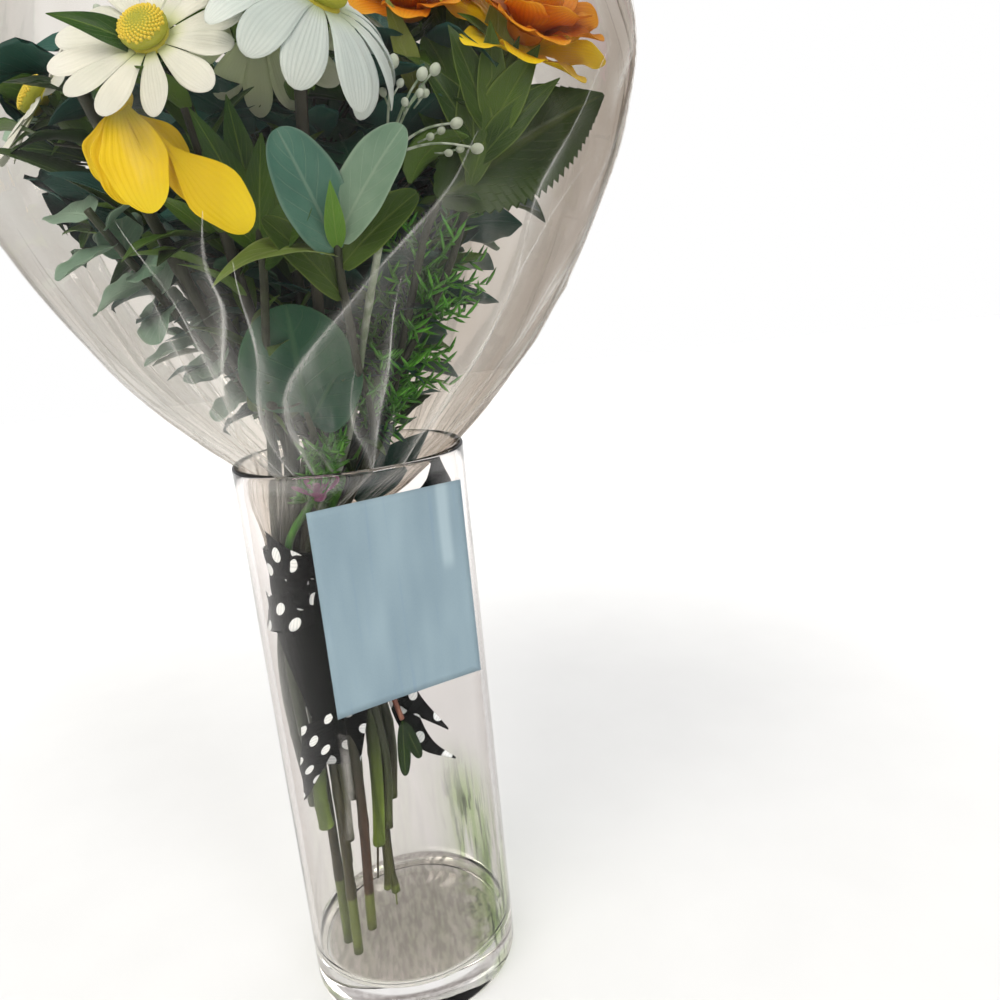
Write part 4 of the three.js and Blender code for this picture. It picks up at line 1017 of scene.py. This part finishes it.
# ---- Film ----
def film_lines():
    """Every fold up the film: the listed ones in front, and random ones round the rest. Each is a dense run
    of turns and heights on a smooth curve, with its ridge, side, veil width, top and foot."""
    lines = [(np.array(line, float), lift, side, wide) for line, lift, side, wide in FOLD_LINES]
    for k in range(RANDOM_FOLDS):
        foot, top = -20 + 220 * (k + rng.uniform(0.1, 0.9)) / RANDOM_FOLDS, rng.uniform(275, 440)
        bow = rng.normal(0, 4)
        places = [(foot + bow + rng.normal(0, 3), top), (foot + bow, (OPEN_FROM + top) / 2),
                  (foot, OPEN_FROM)]
        lines.append((np.array(places), rng.uniform(0.8, 1.9), rng.choice((-1, 1)), rng.uniform(2, 10)))
    smooth = []
    for line, lift, side, wide in lines:
        dense = curve(np.column_stack([line, 0 * line[:, 0]]), np.linspace(0, 1, 70))[:, :2]
        dense[:, 0] += 0.3 * np.sin(dense[:, 1] / 6.3 + line[0, 0])
        smooth.append((dense, lift, side, wide, line[0, 1], line[-1, 1]))
    return smooth


def film_form(z, turn, lines):
    """The film's radius, softened folds and veils at heights and turns: the solids' radius with shallower
    columns, pleats at the gather, a tent-shaped ridge along each fold that tapers at its ends with a veil of
    doubled film on one side, and ruffles towards the top edge."""
    radius = film_radius(z, turn, 1 - 0.6 * ease(z, OPEN_FROM, OPEN_BY))
    tight = np.exp(-((z - 212) / 26) ** 2)
    pleat = (np.abs(np.sin(17 * turn + 1.4 * np.sin(3 * turn) + 0.004 * z)) - 0.6) * 1.7 * tight
    crumple = 0.35 * np.sin(29 * turn + z / 9) * np.sin(z / 13 + 5 * turn)
    crumple = crumple * ease(z, 228, 262) * ease(z, 330, 270)
    r = radius + pleat + crumple + 0.5 * ease(z, 250, 285)
    fold, veil = np.zeros_like(r), np.zeros_like(r)
    for dense, lift, side, wide, top, low in lines:
        path = np.radians(np.interp(-z, -dense[:, 1], dense[:, 0]))
        off = (np.mod(turn - path + np.pi, 2 * np.pi) - np.pi) * r
        on = ease(z, top + 2, top - 0.45 * (top - low)) * ease(z, low - 12, low + 6)
        grow = np.clip(r / 60, 0.35, 1.6)
        dip = np.exp(-((off - 4 * side) / 4) ** 2)
        r = r + on * lift * np.exp(-np.abs(off) / (2.2 * grow)) - on * 0.35 * lift * dip
        fold = np.maximum(fold, on * np.exp(-(off / (1.3 * grow)) ** 2))
        fade = np.exp(-np.abs(off) / (0.45 * wide * grow))
        veil = np.maximum(veil, on * ease(off * side, -0.7, 0.7) * fade)
    ruffle = ease(z, 400, TOP_EDGE)
    r = r + ruffle * (2.6 * np.sin(11 * turn + 0.8 * np.sin(4 * turn)) + 1.6 * np.sin(23 * turn + z / 30) - 1)
    veil = veil * (0.3 + 0.7 * ease(z, 250, 300)) + 0.2 * np.exp(-((z - 203) / 22) ** 2)
    return r, fold, np.clip(veil, 0, 1)


def about_middle(z, r, turn):
    """Places at a distance and a turn round the film's middle at their height."""
    middle = film_middle(np.broadcast_to(z, r.shape))
    return np.stack([middle[..., 0] + r * np.cos(turn), middle[..., 1] + r * np.sin(turn), z + 0 * r], -1)


def film():
    """The film wrapper: an open sheet gathered round the stems and flared above them, with a wavy top edge,
    a narrow raised crease along every fold, tapered towards both ends, and a narrow tail below the tie."""
    rows, columns = 165, 540
    s = np.linspace(0, 1, rows)[:, None]
    turn = np.linspace(-np.pi, np.pi, columns, endpoint=False)[None]
    z = LOW_EDGE + (TOP_EDGE - LOW_EDGE) * (0.78 * s + 0.22 * s ** 2)
    lines = film_lines()
    r, fold, veil = film_form(z, turn, lines)
    wave = (9 * np.sin(3 * turn) * np.cos(2 * turn) + 1.2 * np.sin(14 * turn)) * ease(s, 0.8, 1)
    points = about_middle(z, r, turn)
    points[..., 2] += wave - 1.2 * ease(z, 400, TOP_EDGE)
    creases = []
    for dense, lift, side, wide, top, low in lines:
        path, height = np.radians(dense[:, :1]), dense[:, 1:]
        share = np.linspace(0, 1, len(dense))[:, None]
        uneven = 0.75 + 0.25 * np.sin(23 * share + top)
        width = (0.2 + 0.95 * np.sin(np.pi * share ** 0.8) * uneven) * lift / 2
        across = np.array([[-1.0, 0, 1]])
        around = path + across * width / film_form(height, path, lines)[0]
        reach = film_form(height, around, lines)[0] + 0.3 - 0.2 * np.abs(across)
        creases.append(about_middle(height, reach, around))
    spine = walk(np.array([(-19.5, -25, 150), (-19.7, -24, 134), (-20.5, -22, 108), (-23.9, -20, 82)], float),
                 np.linspace(0, 1, 70))[0]
    creases.append(spine[:, None] + np.array([1.0, 0.3, 0]) * np.array([-2.9, 0, 2.9])[None, :, None])
    sheet = lay(points, wrap=True, tone=fold[None], under=veil[None])
    strips = lay(np.stack(creases), tone=rng.uniform(0.3, 1, len(creases)))
    piece = make("clear_film", [(sheet, film_finish()), (strips, crease_finish())],
                 ["film_wrapper"], weld=False)


# ---- Ribbon ----
def strip(name, points, across, widths, finish, offset=0.0, wave=0.0, cup=0.0):
    """A length of ribbon: its middle line is a spline through the points, its width at each share is read
    from the widths, and it lies along `across`, cupped and waved a little square to that."""
    rows, cols = 60, 10
    share = np.linspace(0, 1, rows)
    line, heading = walk(np.array(points, float), share)
    knots = np.linspace(0, 1, len(widths))
    width = np.interp(share, knots, widths)[:, None]
    wide = unit(np.array(across, float))
    normal = unit(np.cross(heading, wide))
    u = np.linspace(-1, 1, cols)[None]
    lift = cup * u ** 2 + wave * np.sin(9 * share[:, None] + 2 * u) * ease(share, 0, 0.3)[:, None]
    grid = line[:, None] + wide * (width / 2 * u)[..., None] + normal[:, None] * lift[..., None]
    run = np.concatenate([[0], np.cumsum(np.linalg.norm(np.diff(line, axis=0), axis=1))])[:, None]
    uv = np.stack([width * u / 20 + offset, np.broadcast_to(run / 10 + offset * 0.7, (rows, cols))], -1)
    piece = make(name, [(lay(grid, uv=uv), finish)], ["ribbon"], weld=False)
    thicken(piece, "cloth", 0.3)


def ribbon_band(finish):
    """The band round the gathered film: two turns of ribbon, each a cylinder whose radius and height swing
    slightly, with soft folds across them."""
    rows, cols = 22, 160
    turn = around(cols)[None]
    v = np.linspace(0, 1, rows)[:, None]
    z = TIE_LOW + 0.4 + (TIE_HIGH - 2.8 - TIE_LOW) * v + 0.5 * np.sin(turn * 2)
    r = 17.75 + 0.35 * np.sin(9 * v + 0.8 * np.sin(turn + 1)) + 0.25 * np.sin(5 * turn + 4 * v) + 0 * turn
    points = np.stack([TIE[0] + r * np.cos(turn), TIE[1] + r * np.sin(turn), z], -1)
    uv = np.stack(np.broadcast_arrays(v * 2.4, np.linspace(0, 11.1, cols + 1)[None]), -1)
    piece = make("ribbon_band", [(lay(points, wrap=True, uv=uv), finish)], ["ribbon"], weld=False)
    thicken(piece, "cloth", 0.5)


def ribbon_knot(finish):
    """The knot: an upright ball of ribbon with wrapped folds that slant round it."""
    rows, cols = 40, 56
    down = np.linspace(np.pi, 0, rows)[:, None]
    turn = around(cols)[None]
    fold = 1 + 0.10 * np.sin(5 * down + 2 * turn) * np.sin(down) + 0.06 * np.sin(11 * down - turn)
    r = 5.7 * np.sin(down) ** 0.7 * fold
    z = 211 + 12.6 * np.cos(down) + 0 * turn
    points = np.stack([-26 + r * np.cos(turn), -29 + r * np.sin(turn), z], -1)
    u, v = np.linspace(0, 3.6, cols + 1)[None], np.linspace(0, 2.7, rows)[:, None]
    uv = np.stack(np.broadcast_arrays(u, v), -1)
    make("ribbon_knot", [(lay(points, wrap=True, uv=uv), finish)], ["ribbon"])


def ribbon():
    """The whole ribbon: band, knot, the long panel, its folds and its free ends."""
    plain, dotted = ribbon_finish("ribbon_plain", False), ribbon_finish("ribbon_dotted", True)
    ribbon_band(dotted)
    ribbon_knot(dotted)
    strip("ribbon_panel", [(-28, -28.8, 214), (-28, -29.8, 190), (-25.5, -30.4, 165), (-23, -30.8, 143)],
          (0.8, -0.6, 0), (25, 27, 23, 15), plain, cup=0.6, wave=0.25)
    strip("ribbon_tail_left", [(-27, -29.4, 150), (-31, -26, 132), (-40, -18.5, 106)],
          (0.8, -0.5, 0.5), (24, 19, 0.6), dotted, 0.3, wave=0.4)
    strip("ribbon_end_small", [(-27, -29, 216), (-34, -24, 224), (-38, -20, 233)],
          (0.4, -0.2, 0.9), (16, 10, 0.6), dotted, 0.1, wave=0.3)
    strip("ribbon_tail_right", [(-5, -12, 207), (3, -9, 168), (12, -8, 141), (28, -8, 122)],
          (0.62, 0, 0.78), (10, 13, 14, 0.5), dotted, 0.55, wave=0.4)
    strip("ribbon_tail_low", [(-5, -10, 200), (6, -5, 160), (10, -5, 130), (18, -6, 114), (30, -6, 105)],
          (0.7, 0, 0.7), (10, 15, 17, 11, 0.5), dotted, 0.8, wave=0.4)
    strip("ribbon_fold_low", [(-16, -20, 200), (-17, -24, 170), (-20, -23, 146), (-23, -19, 121)],
          (0.9, -0.3, 0), (16, 24, 26, 19), dotted, 0.42, wave=0.4)
    strip("ribbon_end_back", [(-6, -5, 207), (12, 0, 213), (33, 4, 227), (42.5, 8, 244)],
          (-0.4, 0, 0.9), (14, 18, 22, 13), plain, wave=0.4)
    strip("ribbon_fold_front",
          [(-43, -12, 197), (-39.5, -22, 198), (-31, -31.5, 201), (-16, -34.5, 206), (-4, -30, 209)],
          (0.12, 0, 1), (15, 16, 18, 18, 14), dotted, 0.62, wave=0.5, cup=0.8)


# ---- Leaves and stems that have no node of their own in the solids ----
# Each leaf: root, tip, width.
TOP_LEAVES = {
    "olive": [((63, -55.5, 375), (50.7, -66, 406.6), 13), ((63.9, -56, 377), (64.9, -66, 407.6), 11),
              ((61, -54, 371), (80.8, -68, 398.9), 14), ((58.5, -53, 365), (86.4, -70, 388), 12),
              ((60, -54, 368), (40.8, -62, 397.5), 13), ((62, -54, 372), (71.9, -64, 397.2), 12),
              ((57, -52, 361), (58, -60, 400), 14), ((55, -51, 357), (76, -60, 404), 11)],
    "pale": [((67, -50, 386), (73.2, -46, 424), 12), ((40, -50, 388), (32.2, -55, 419.5), 9)],
    "leaf": [((61, -44, 373), (46, -44, 410), 18), ((62, -44, 375), (56, -42, 412), 16),
             ((60, -42, 370), (66, -44, 404), 17), ((56, -41, 362), (38, -46, 402), 15),
             ((59, -42, 366), (52, -40, 398), 18), ((56, -30, 392), (50.1, -25, 429), 15),
             ((60, -30, 394), (56.5, -25, 427), 16), ((63, -30, 394), (63, -25, 431), 15),
             ((66, -30, 393), (69, -25, 427), 16), ((60, -34, 390), (61, -28, 420), 19)]}


def top_leaves(look):
    """A leafy shoot below and behind the orange blooms: narrow leaves in front of rounder ones."""
    parts = []
    for kind, rows in TOP_LEAVES.items():
        root, tip, width = (np.array(v, float) for v in zip(*rows))
        outline = oval if kind == "leaf" else pointed
        patch = leaf_between(root, tip, (0.05, -0.9, 0.45), 0.5, width=width, cup=0.25, rows=16, ruffle=0.06,
                             tone=rng.uniform(0.2, 0.8, len(rows)), outline=outline)
        parts.append((keep_inside(patch), look[kind]))
    side = [in_bundle((6, -3), z) for z in (190, 226, 250)] + [(46, -40, 330), (60, -52, 372)]
    parts.append((tube(walk(np.array(side), np.linspace(0, 1, 40))[0], 1.5, 8), look["stem"]))
    make("top_leaves", parts)


# Dark leaves behind the rim on the right, and one behind the orange blooms: root, tip, width, tone.
DARK_LEAVES = [((0, 0, 236), (36, 6, 262), 17, 0.1), ((6, 2, 230), (33, 4, 249), 17, 0.0),
               ((-2, -4, 240), (20, -4, 268), 13, 0.2), ((28, 0, 392), (38, 4, 444), 22, 0.4)]
# Fans of leaves round one point: count, spread in degrees, distance of roots and of tips, width, depth.
FANS = [(9, 62, 48, 98, 34, 4), (8, 56, 20, 66, 32, -8), (6, 70, 4, 40, 30, -14)]
# Undergrowth: name, finishes of leaves and twigs, then count, lowest and highest, reach, and leaf size.
GROWTH = [
    ("teal", "teal", "twig", (80, 262, 405, 0.72, (46, 26)), dict(front=0.4)),
    ("dark", "dark", "twig", (80, 255, 400, 0.75, (40, 20)), dict(front=0.42)),
    ("green", "leaf", "stem", (80, 262, 415, 0.78, (36, 13)), dict(front=0.55)),
    ("round", "round", "stem", (50, 262, 400, 0.8, (27, 20)), dict(outline=oval, front=0.45)),
    ("far", "leaf", "stem", (110, 345, 425, 0.97, (40, 18)), dict(turns=(42, 168), inner=0.5)),
    ("rim", "teal", "twig", (70, 340, 420, 0.97, (44, 27)), dict(turns=(44, 166), inner=0.55)),
    ("pale", "sage", "stem", (46, 350, 430, 0.95, (28, 17)), dict(outline=oval, turns=(46, 164), inner=0.55))]


def back_fan(look):
    """Dark leaves behind the front blooms: three upright fans round one point, each leaf facing forwards with
    its root and tip at fixed distances from it, on twigs from the gathered stems."""
    middle, foot = np.array([-4.0, -2, 322]), np.array([-9.0, -4, 262])
    t = np.linspace(0, 1, 8)[None, :, None]
    parts = []
    for count, spread, root, tip, width, depth in FANS:
        turn = np.radians(np.linspace(-spread, spread, count))
        out = np.stack([np.sin(turn), 0 * turn, np.cos(turn)], 1)
        base = middle + out * root + np.array([0, depth, 0])
        swing = depth + 5 * np.sin(3 * np.arange(count))
        ends = middle + out * tip + np.stack([0 * turn, swing, 0 * turn], 1)
        leaves = leaf_between(base, ends, TO_FRONT, 0.45, width=width, outline=pointed, cup=0.25, rows=16,
                              ruffle=0.06, tone=np.linspace(0, 1, count) ** 2)
        twigs = tube(foot + (base - foot)[:, None] * t, 0.8 + 0 * t[..., 0], 6, tone=0.4)
        parts += [(leaves, look["teal"]), (twigs, look["twig"])]
    make("back_leaves", inside(parts))


# Cut stems and wires in the vase: places down each, with the radius at each.
LOOSE = {
    "sleeve": [
        ([(-7, -11, 200), (-7.6, -11, 119), (-9.1, -10, 92), (-11.5, -10, 69.8)], (2.6, 2.8, 3.0, 2.8)),
        ([(-32.6, -19.6, 119), (-33.6, -18.6, 105), (-33.2, -17.6, 90)], (3.3, 3.1, 3.3))],
    "stem": [
        ([(-35, -13, 197), (-39, -14, 181), (-40.5, -14, 158), (-39.5, -14, 131), (-37.5, -14, 100)],
         (2.4, 2.6, 2.6, 2.4, 2.2)),
        ([(-33, -17, 197), (-36.5, -18, 175), (-36.5, -18, 154), (-35.2, -18, 129), (-34, -18, 104)],
         (2.2, 2.6, 2.6, 2.4, 2.2))],
    "twig": [
        ([(-3.6, -6, 196), (-3.6, -6, 112), (-6.8, -6, 78), (-7.7, -6, 52), (-6.8, -6, 39)],
         (1.5, 1.4, 1.3, 1.6, 2.1)),
        ([(-8.6, -8, 80), (-9.5, -8, 54), (-10.6, -8, 43)], (1.1, 1.5, 1.8)),
        ([(-22.5, -16, 190), (-22.5, -16, 125), (-23.4, -15, 99), (-24.3, -14, 78)], (2.2, 2.3, 2.3, 2.1)),
        ([(-6.8, -6, 42), (-7.2, -6, 31.2)], (0.5, 0.4)),
        ([(-11.8, -10, 72), (-14.3, -10, 51.4)], (0.6, 0.5))]}


def loose_stems(look):
    """The cut stems and wires that end inside the vase: a tube along each run, with a small ring at a joint
    where its radius changes."""
    parts = []
    for kind, runs in LOOSE.items():
        for places, radii in runs:
            share = np.linspace(0, 1, 60)
            line, _ = walk(np.array(places, float), share)
            size = np.interp(share, np.linspace(0, 1, len(radii)), radii)
            joint, lip = np.exp(-((share - 0.62) / 0.012) ** 2), np.exp(-((share - 0.985) / 0.02) ** 2)
            parts.append((tube(line, size * (1 + 0.12 * joint + 0.08 * lip), 12, tone=rng.uniform(0.2, 0.9)),
                          look[kind]))
    make("loose_stems", parts)


# ---- Planting ----
def plant_finishes():
    """The finishes of leaves, stalks and petals by short names, each with its own name in full."""
    leaf, stem, petals = leaf_finish, stem_finish, petal_finish
    return {
        "leaf": leaf("leaf_green", (0.014, 0.062, 0.006), (0.095, 0.20, 0.015), (0.22, 0.34, 0.06),
                     (0.12, 0.21, 0.04)),
        "dark": leaf("leaf_serrated", (0.004, 0.022, 0.0006), (0.032, 0.080, 0.001), (0.12, 0.17, 0.04),
                     (0.03, 0.08, 0.015), pairs=13, slope=4.5, rough=0.38, midrib=0.13),
        "sage": leaf("leaf_sage", (0.17, 0.31, 0.22), (0.40, 0.56, 0.44), (0.55, 0.70, 0.56),
                     (0.30, 0.42, 0.33), pairs=6, slope=2.4, rough=0.5, rim=0.35, thin=0.2, veins=0.3),
        "teal": leaf("leaf_dim", (0.004, 0.042, 0.034), (0.022, 0.105, 0.085), (0.05, 0.15, 0.11),
                     (0.02, 0.08, 0.06), pairs=8, slope=3.2, rough=0.45, thin=0.05),
        "round": leaf("leaf_round", (0.008, 0.070, 0.045), (0.045, 0.17, 0.085), (0.12, 0.26, 0.12),
                      (0.08, 0.18, 0.10), pairs=6, slope=2.2, rough=0.45, rim=0.25, thin=0.15, veins=0.25),
        "blue": leaf("leaf_blue_green", (0.02, 0.11, 0.085), (0.16, 0.34, 0.27), (0.36, 0.52, 0.42),
                     (0.14, 0.28, 0.22), pairs=6, slope=2.4, rim=0.3, veins=0.3),
        "pale": leaf("leaf_pale_olive", (0.16, 0.20, 0.03), (0.30, 0.36, 0.08), (0.42, 0.48, 0.16),
                     (0.20, 0.26, 0.06), pairs=6, slope=2.4, veins=0.3),
        "olive": leaf("leaf_olive", (0.020, 0.052, 0.006), (0.080, 0.150, 0.016), (0.18, 0.27, 0.05),
                      (0.12, 0.18, 0.03), pairs=6, slope=2.4, rim=0.7, veins=0.4),
        "bright": leaf("leaf_bright", (0.08, 0.22, 0.02), (0.16, 0.36, 0.04), (0.30, 0.46, 0.10),
                       (0.14, 0.28, 0.05), rim=0.3),
        # the curled leaf's broad pale rim is a painted highlight along its edge
        "curl": leaf("leaf_curled", (0.12, 0.22, 0.03), (0.28, 0.40, 0.10), (0.50, 0.60, 0.26),
                     (0.30, 0.42, 0.16), rim=0.6, thin=0.2),
        "fern": stem("fern_needles", (0.010, 0.085, 0.004), (0.07, 0.34, 0.014), (0.12, 0.40, 0.03), 0.55),
        "stem": stem("stalk_olive", (0.035, 0.042, 0.010), (0.085, 0.12, 0.022), (0.03, 0.022, 0.008),
                     dim=0.8),
        "twig": stem("stalk_brown", (0.035, 0.020, 0.007), (0.055, 0.060, 0.014), (0.015, 0.012, 0.005),
                     dim=0.8),
        "red": stem("stalk_red", (0.055, 0.022, 0.008), (0.075, 0.060, 0.014), (0.022, 0.012, 0.005),
                    dim=0.8),
        "sleeve": stem("stalk_green", (0.13, 0.20, 0.015), (0.25, 0.36, 0.03), (0.06, 0.09, 0.01), dim=0.85),
        "filler": stem("filler_pale", (0.10, 0.18, 0.08), (0.40, 0.46, 0.38), (0.50, 0.56, 0.50), 0.55),
        "bark": stem("bark_red", (0.10, 0.022, 0.014), (0.20, 0.06, 0.035), (0.35, 0.16, 0.10), 0.6),
        "daisy": petals("petal_white", (0.62, 0.70, 0.22), (0.93, 0.93, 0.86), (0.95, 0.95, 0.92),
                        (0.66, 0.70, 0.62)),
        "cool": petals("petal_cool_white", (0.60, 0.70, 0.42), (0.74, 0.83, 0.83), (0.84, 0.90, 0.89),
                       (0.46, 0.56, 0.56), lines=0.18),
        # a darker, greener copy of the white petals: painted shade for daisy_2, which hangs in shade
        "shaded": petals("petal_white_painted_shade", (0.42, 0.55, 0.12), (0.82, 0.88, 0.68), (0.90, 0.92, 0.82),
                         (0.66, 0.74, 0.52), thin=0.65),
        # the yellow petals' olive root is painted shade where they meet
        "yellow": petals("petal_yellow", (0.55, 0.50, 0.01), (0.98, 0.76, 0.002), (0.99, 0.82, 0.01),
                         (0.70, 0.47, 0.002), lines=0.1),
        "orange": petals("petal_orange", (0.55, 0.12, 0.005), (0.80, 0.29, 0.006), (0.90, 0.46, 0.015),
                         (0.50, 0.15, 0.005), lines=0.2),
        "pink": petals("petal_pink", (0.60, 0.52, 0.55), (0.50, 0.10, 0.36), (0.62, 0.22, 0.48),
                       (0.28, 0.04, 0.20), lines=0.25),
        "disc": floret_finish()}


def inside(parts):
    """Pairs of patch and finish with each patch kept inside the film."""
    return [(keep_inside(patch), finish) for patch, finish in parts]


def yellow_petals(head):
    """The golden bloom's broad petals, listed one by one. A claw is a narrow root, a tenth to a fifth of the
    outline wide, up to its share of the length."""
    tips, width, claw, tone = (np.array(v, float) for v in zip(*YELLOW_TIPS))
    claw = claw[:, None, None]
    outline = lambda t: (broad(np.clip((t - claw) / (1 - claw), 0, 1)) * (1 - 0.8 * (t < claw))
                         + 0.1 * (t < claw))
    return leaf_between(np.repeat(head[None], len(tips), 0), tips, TO_FRONT, 0.5, width=width,
                        outline=outline, cup=0.3, ruffle=0.12, rows=22, cols=12, tone=tone)


def flower(f, stalk, look):
    """One flower: its stem with a cup, sepals and leaves, a disc of florets on a daisy, a ring of edge petals
    where it has one, and whorls of petals round a small hub."""
    name, kind, head, axis = f["name"], f["kind"], f["centre"], f["axis"]
    family = name.split("_")[0]
    wide, tall = HUB[kind]
    under = tall + GAP + (2 * EDGE_HUB + GAP if f.get("outer") else 0)
    cup = head - axis * (under + CUP_HEIGHT)
    points = route(f["slot"], f["foot"], cup, axis)
    sepals = dict(count=9, lift=38, length=wide * 1.25, width=wide * 0.55, bend=-0.3, start=wide * 0.45,
                  outline=pointed, rows=7, cols=4)
    greens = [(stem_tube(points, FLOWER_STEM, rng.uniform(0, 1)), stalk),
              (ball(cup, axis, wide * 0.8, CUP_HEIGHT, 16, 9), look["leaf"]),
              (whorl(cup - axis * 0.5, axis, sepals, 0.2), look["leaf"])]
    if "ring" in f:
        greens.append((leaf_ring(points, dict(f["ring"], cup=0.3, ruffle=0.05, rows=16)), look["leaf"]))
    make(f"{name}_greens", inside(greens), [f"{name}_stem"])
    if family == "daisy":
        crown = head + axis * (tall + GAP + 0.9)
        make(f"{name}_florets", inside((p, look["disc"]) for p in florets(crown, axis, DISC_WIDE, DISC_TALL)),
             [f"{name}_disc"])
    if f.get("outer"):
        low = head - axis * (under - EDGE_HUB - GAP)
        edge = [(whorl(low, axis, dict(EDGE, outline=broad), 0.25), look["yellow"])]
        make(f"{name}_edge_petals", inside(edge) + [(ball(low, axis, 5, EDGE_HUB, 16, 7), look["yellow"])],
             [f"{name}_outer"])
    outline = petal if family == "daisy" or kind == "small" else broad
    tint = look["cool" if kind == "drooping" else "shaded" if name == "daisy_2" else family]
    # each later whorl gets a higher tone, and so less painted shade on its petals
    rings = [(whorl(head, axis, dict(layer, outline=outline), 0.5 * i + 0.25, tone=0.35 + 0.15 * i), tint)
             for i, layer in enumerate(WHORLS[kind])]
    if name == "yellow_1":  # its whorls only keep their place in the order of random draws
        rings = [(yellow_petals(head), tint)]
    hub = (ball(head, axis, wide, tall, 18, 9, tone=0.4), look["disc"] if family == "daisy" else tint)
    make(f"{name}_corolla", inside(rings) + [hub], [f"{name}_petals"])


def spray(s, look):
    """One leafy stem: its stalk with the listed leaves, a ring of leaves or fronds, and below the large round
    leaf a small dark bud on a thin stalk."""
    name, colour, points = s["name"], s["colour"], route(s["slot"], s["foot"], s["centre"], s["axis"])
    large = name == "large_round_leaf"
    finish = look["round" if large else colour]
    parts = [(stem_tube(points, LEAF_STEM, rng.uniform(0, 1)), look["fern" if colour == "fern" else "stem"])]
    fine = (dict(teeth=26, rows=156, cols=10, cup=0.15) if colour == "dark"
            else dict(rows=22, cols=12, cup=0.28, ruffle=0.05))
    for place, tip, width, outline, *turned in s.get("leaves", []):
        face, bend, own = [*turned, *(TO_FRONT, 0.5, None)[len(turned):]]
        leaf = leaf_between(walk(points[-4:], [place])[0], tip, face, bend, width=width, outline=outline,
                            tone=rng.uniform(0.3, 0.8), **fine)
        parts.append((leaf, look.get(own, finish)))
    if "ring" in s:
        parts.append((leaf_ring(points, dict(s["ring"], cup=0.2, ruffle=0.06, rows=18)), finish))
    if large:
        stalk = np.array([(-16, -40, 286), (-20, -49, 286), (-24.5, -55, 287)], float)
        parts += [(tube(walk(stalk, np.linspace(0, 1, 10))[0], 0.5, 6), look["twig"]),
                  (ball((-25, -56, 288), (-0.3, -0.6, 0.4), 2.0, 2.9, 14, 9, tone=0.1), look["twig"])]
    if "fronds" in s:
        parts += [(p, finish) for p in fronds(points, *s["fronds"])]
    make(f"{name}_foliage", inside(parts), [name])


def filler(f, pale):
    """Tiny buds on thin pale stalks: a stalk to each listed tip, and two side stalks from it."""
    head, tips = f["centre"], np.array(f["tips"], float)
    points = route(f["slot"], f["foot"], head, f["axis"])
    t = np.linspace(0, 1, 9)[None, :, None]
    line = head + (tips - head)[:, None] * t + 3.0 * UP * np.sin(np.pi * t)
    lean = unit(tips - head)
    x, y = square_to(lean)
    small = np.concatenate([tips - lean * 6 + x * 4 + y, tips - lean * 9 - x * 4 - y])
    roots = np.concatenate([tips - lean * 11, tips - lean * 14])
    side = roots[:, None] + (small - roots)[:, None] * t
    parts = [stem_tube(points, FILLER_STEM, 0.4), tube(line, 0.5 - 0.15 * t[..., 0], 6, tone=0.3),
             tube(side, 0.32 + 0 * t[..., 0], 5, tone=0.3), ball(tips, lean, 1.75, 2.2, 12, 9, tone=0.8),
             ball(small, unit(small - roots), 1.25, 1.6, 10, 7, tone=0.7)]
    make(f"{f['name']}_buds", inside((p, pale) for p in parts), [f["name"]])


def shoot(look):
    """The reddish shoot that hangs in the vase, with two small leaves at its end."""
    line = np.array([(-4.9, -12.3, 172), (3, -12, 150), (7, -13, 134)])
    make("sprig_shoot", [(tube(walk(line, np.linspace(0, 1, 24))[0], 1.2, 10, 0.5), look["bark"])],
         ["sprig_stalk"])
    leaves = [leaf_between((7, -13, 133.4), tip, TO_FRONT, width=6, outline=oval, cup=0.3, rows=16)
              for tip in ((5, -15, 106), (13, -12, 112))]
    make("sprig_blades", [(leaf, look["dark"]) for leaf in leaves], ["sprig_leaves"])


def plant():
    """All flowers, leafy stems and filler, on routes through their slots in the tie, then small growth."""
    look = plant_finishes()
    ready = lambda s: dict(s, centre=np.array(s["head"], float), axis=unit(np.array(s["facing"], float)))
    flowers, sprays, fillers = ([ready(s) for s in group] for group in (FLOWERS, SPRAYS, FILLERS))
    give_slots(flowers + sprays + fillers)
    for k, f in enumerate(flowers):
        flower(f, look["red" if f["name"] == "daisy_3" else "stem" if k % 3 else "twig"], look)
    for s in sprays:
        spray(s, look)
    for f in fillers:
        filler(f, look["filler"])
    top_leaves(look)
    loose_stems(look)
    back_fan(look)
    for name, leaf, twig, values, rest in GROWTH:
        leaves, twigs = undergrowth(*values, **rest)
        make(f"undergrowth_{name}", [(leaves, look[leaf]), (twigs, look[twig])])
    root, tip, width, tone = (np.array(v, float) for v in zip(*DARK_LEAVES))
    make("neck_leaves", inside([(leaf_between(root, tip, TO_FRONT, 0.3, width=width, outline=pointed, cup=0.2,
                                              rows=16, tone=tone), look["teal"])]))
    shoot(look)


place_camera()
place_lights()
lay_floor()
vase()
note()
film()
ribbon()
plant()
bpy.context.view_layer.update()
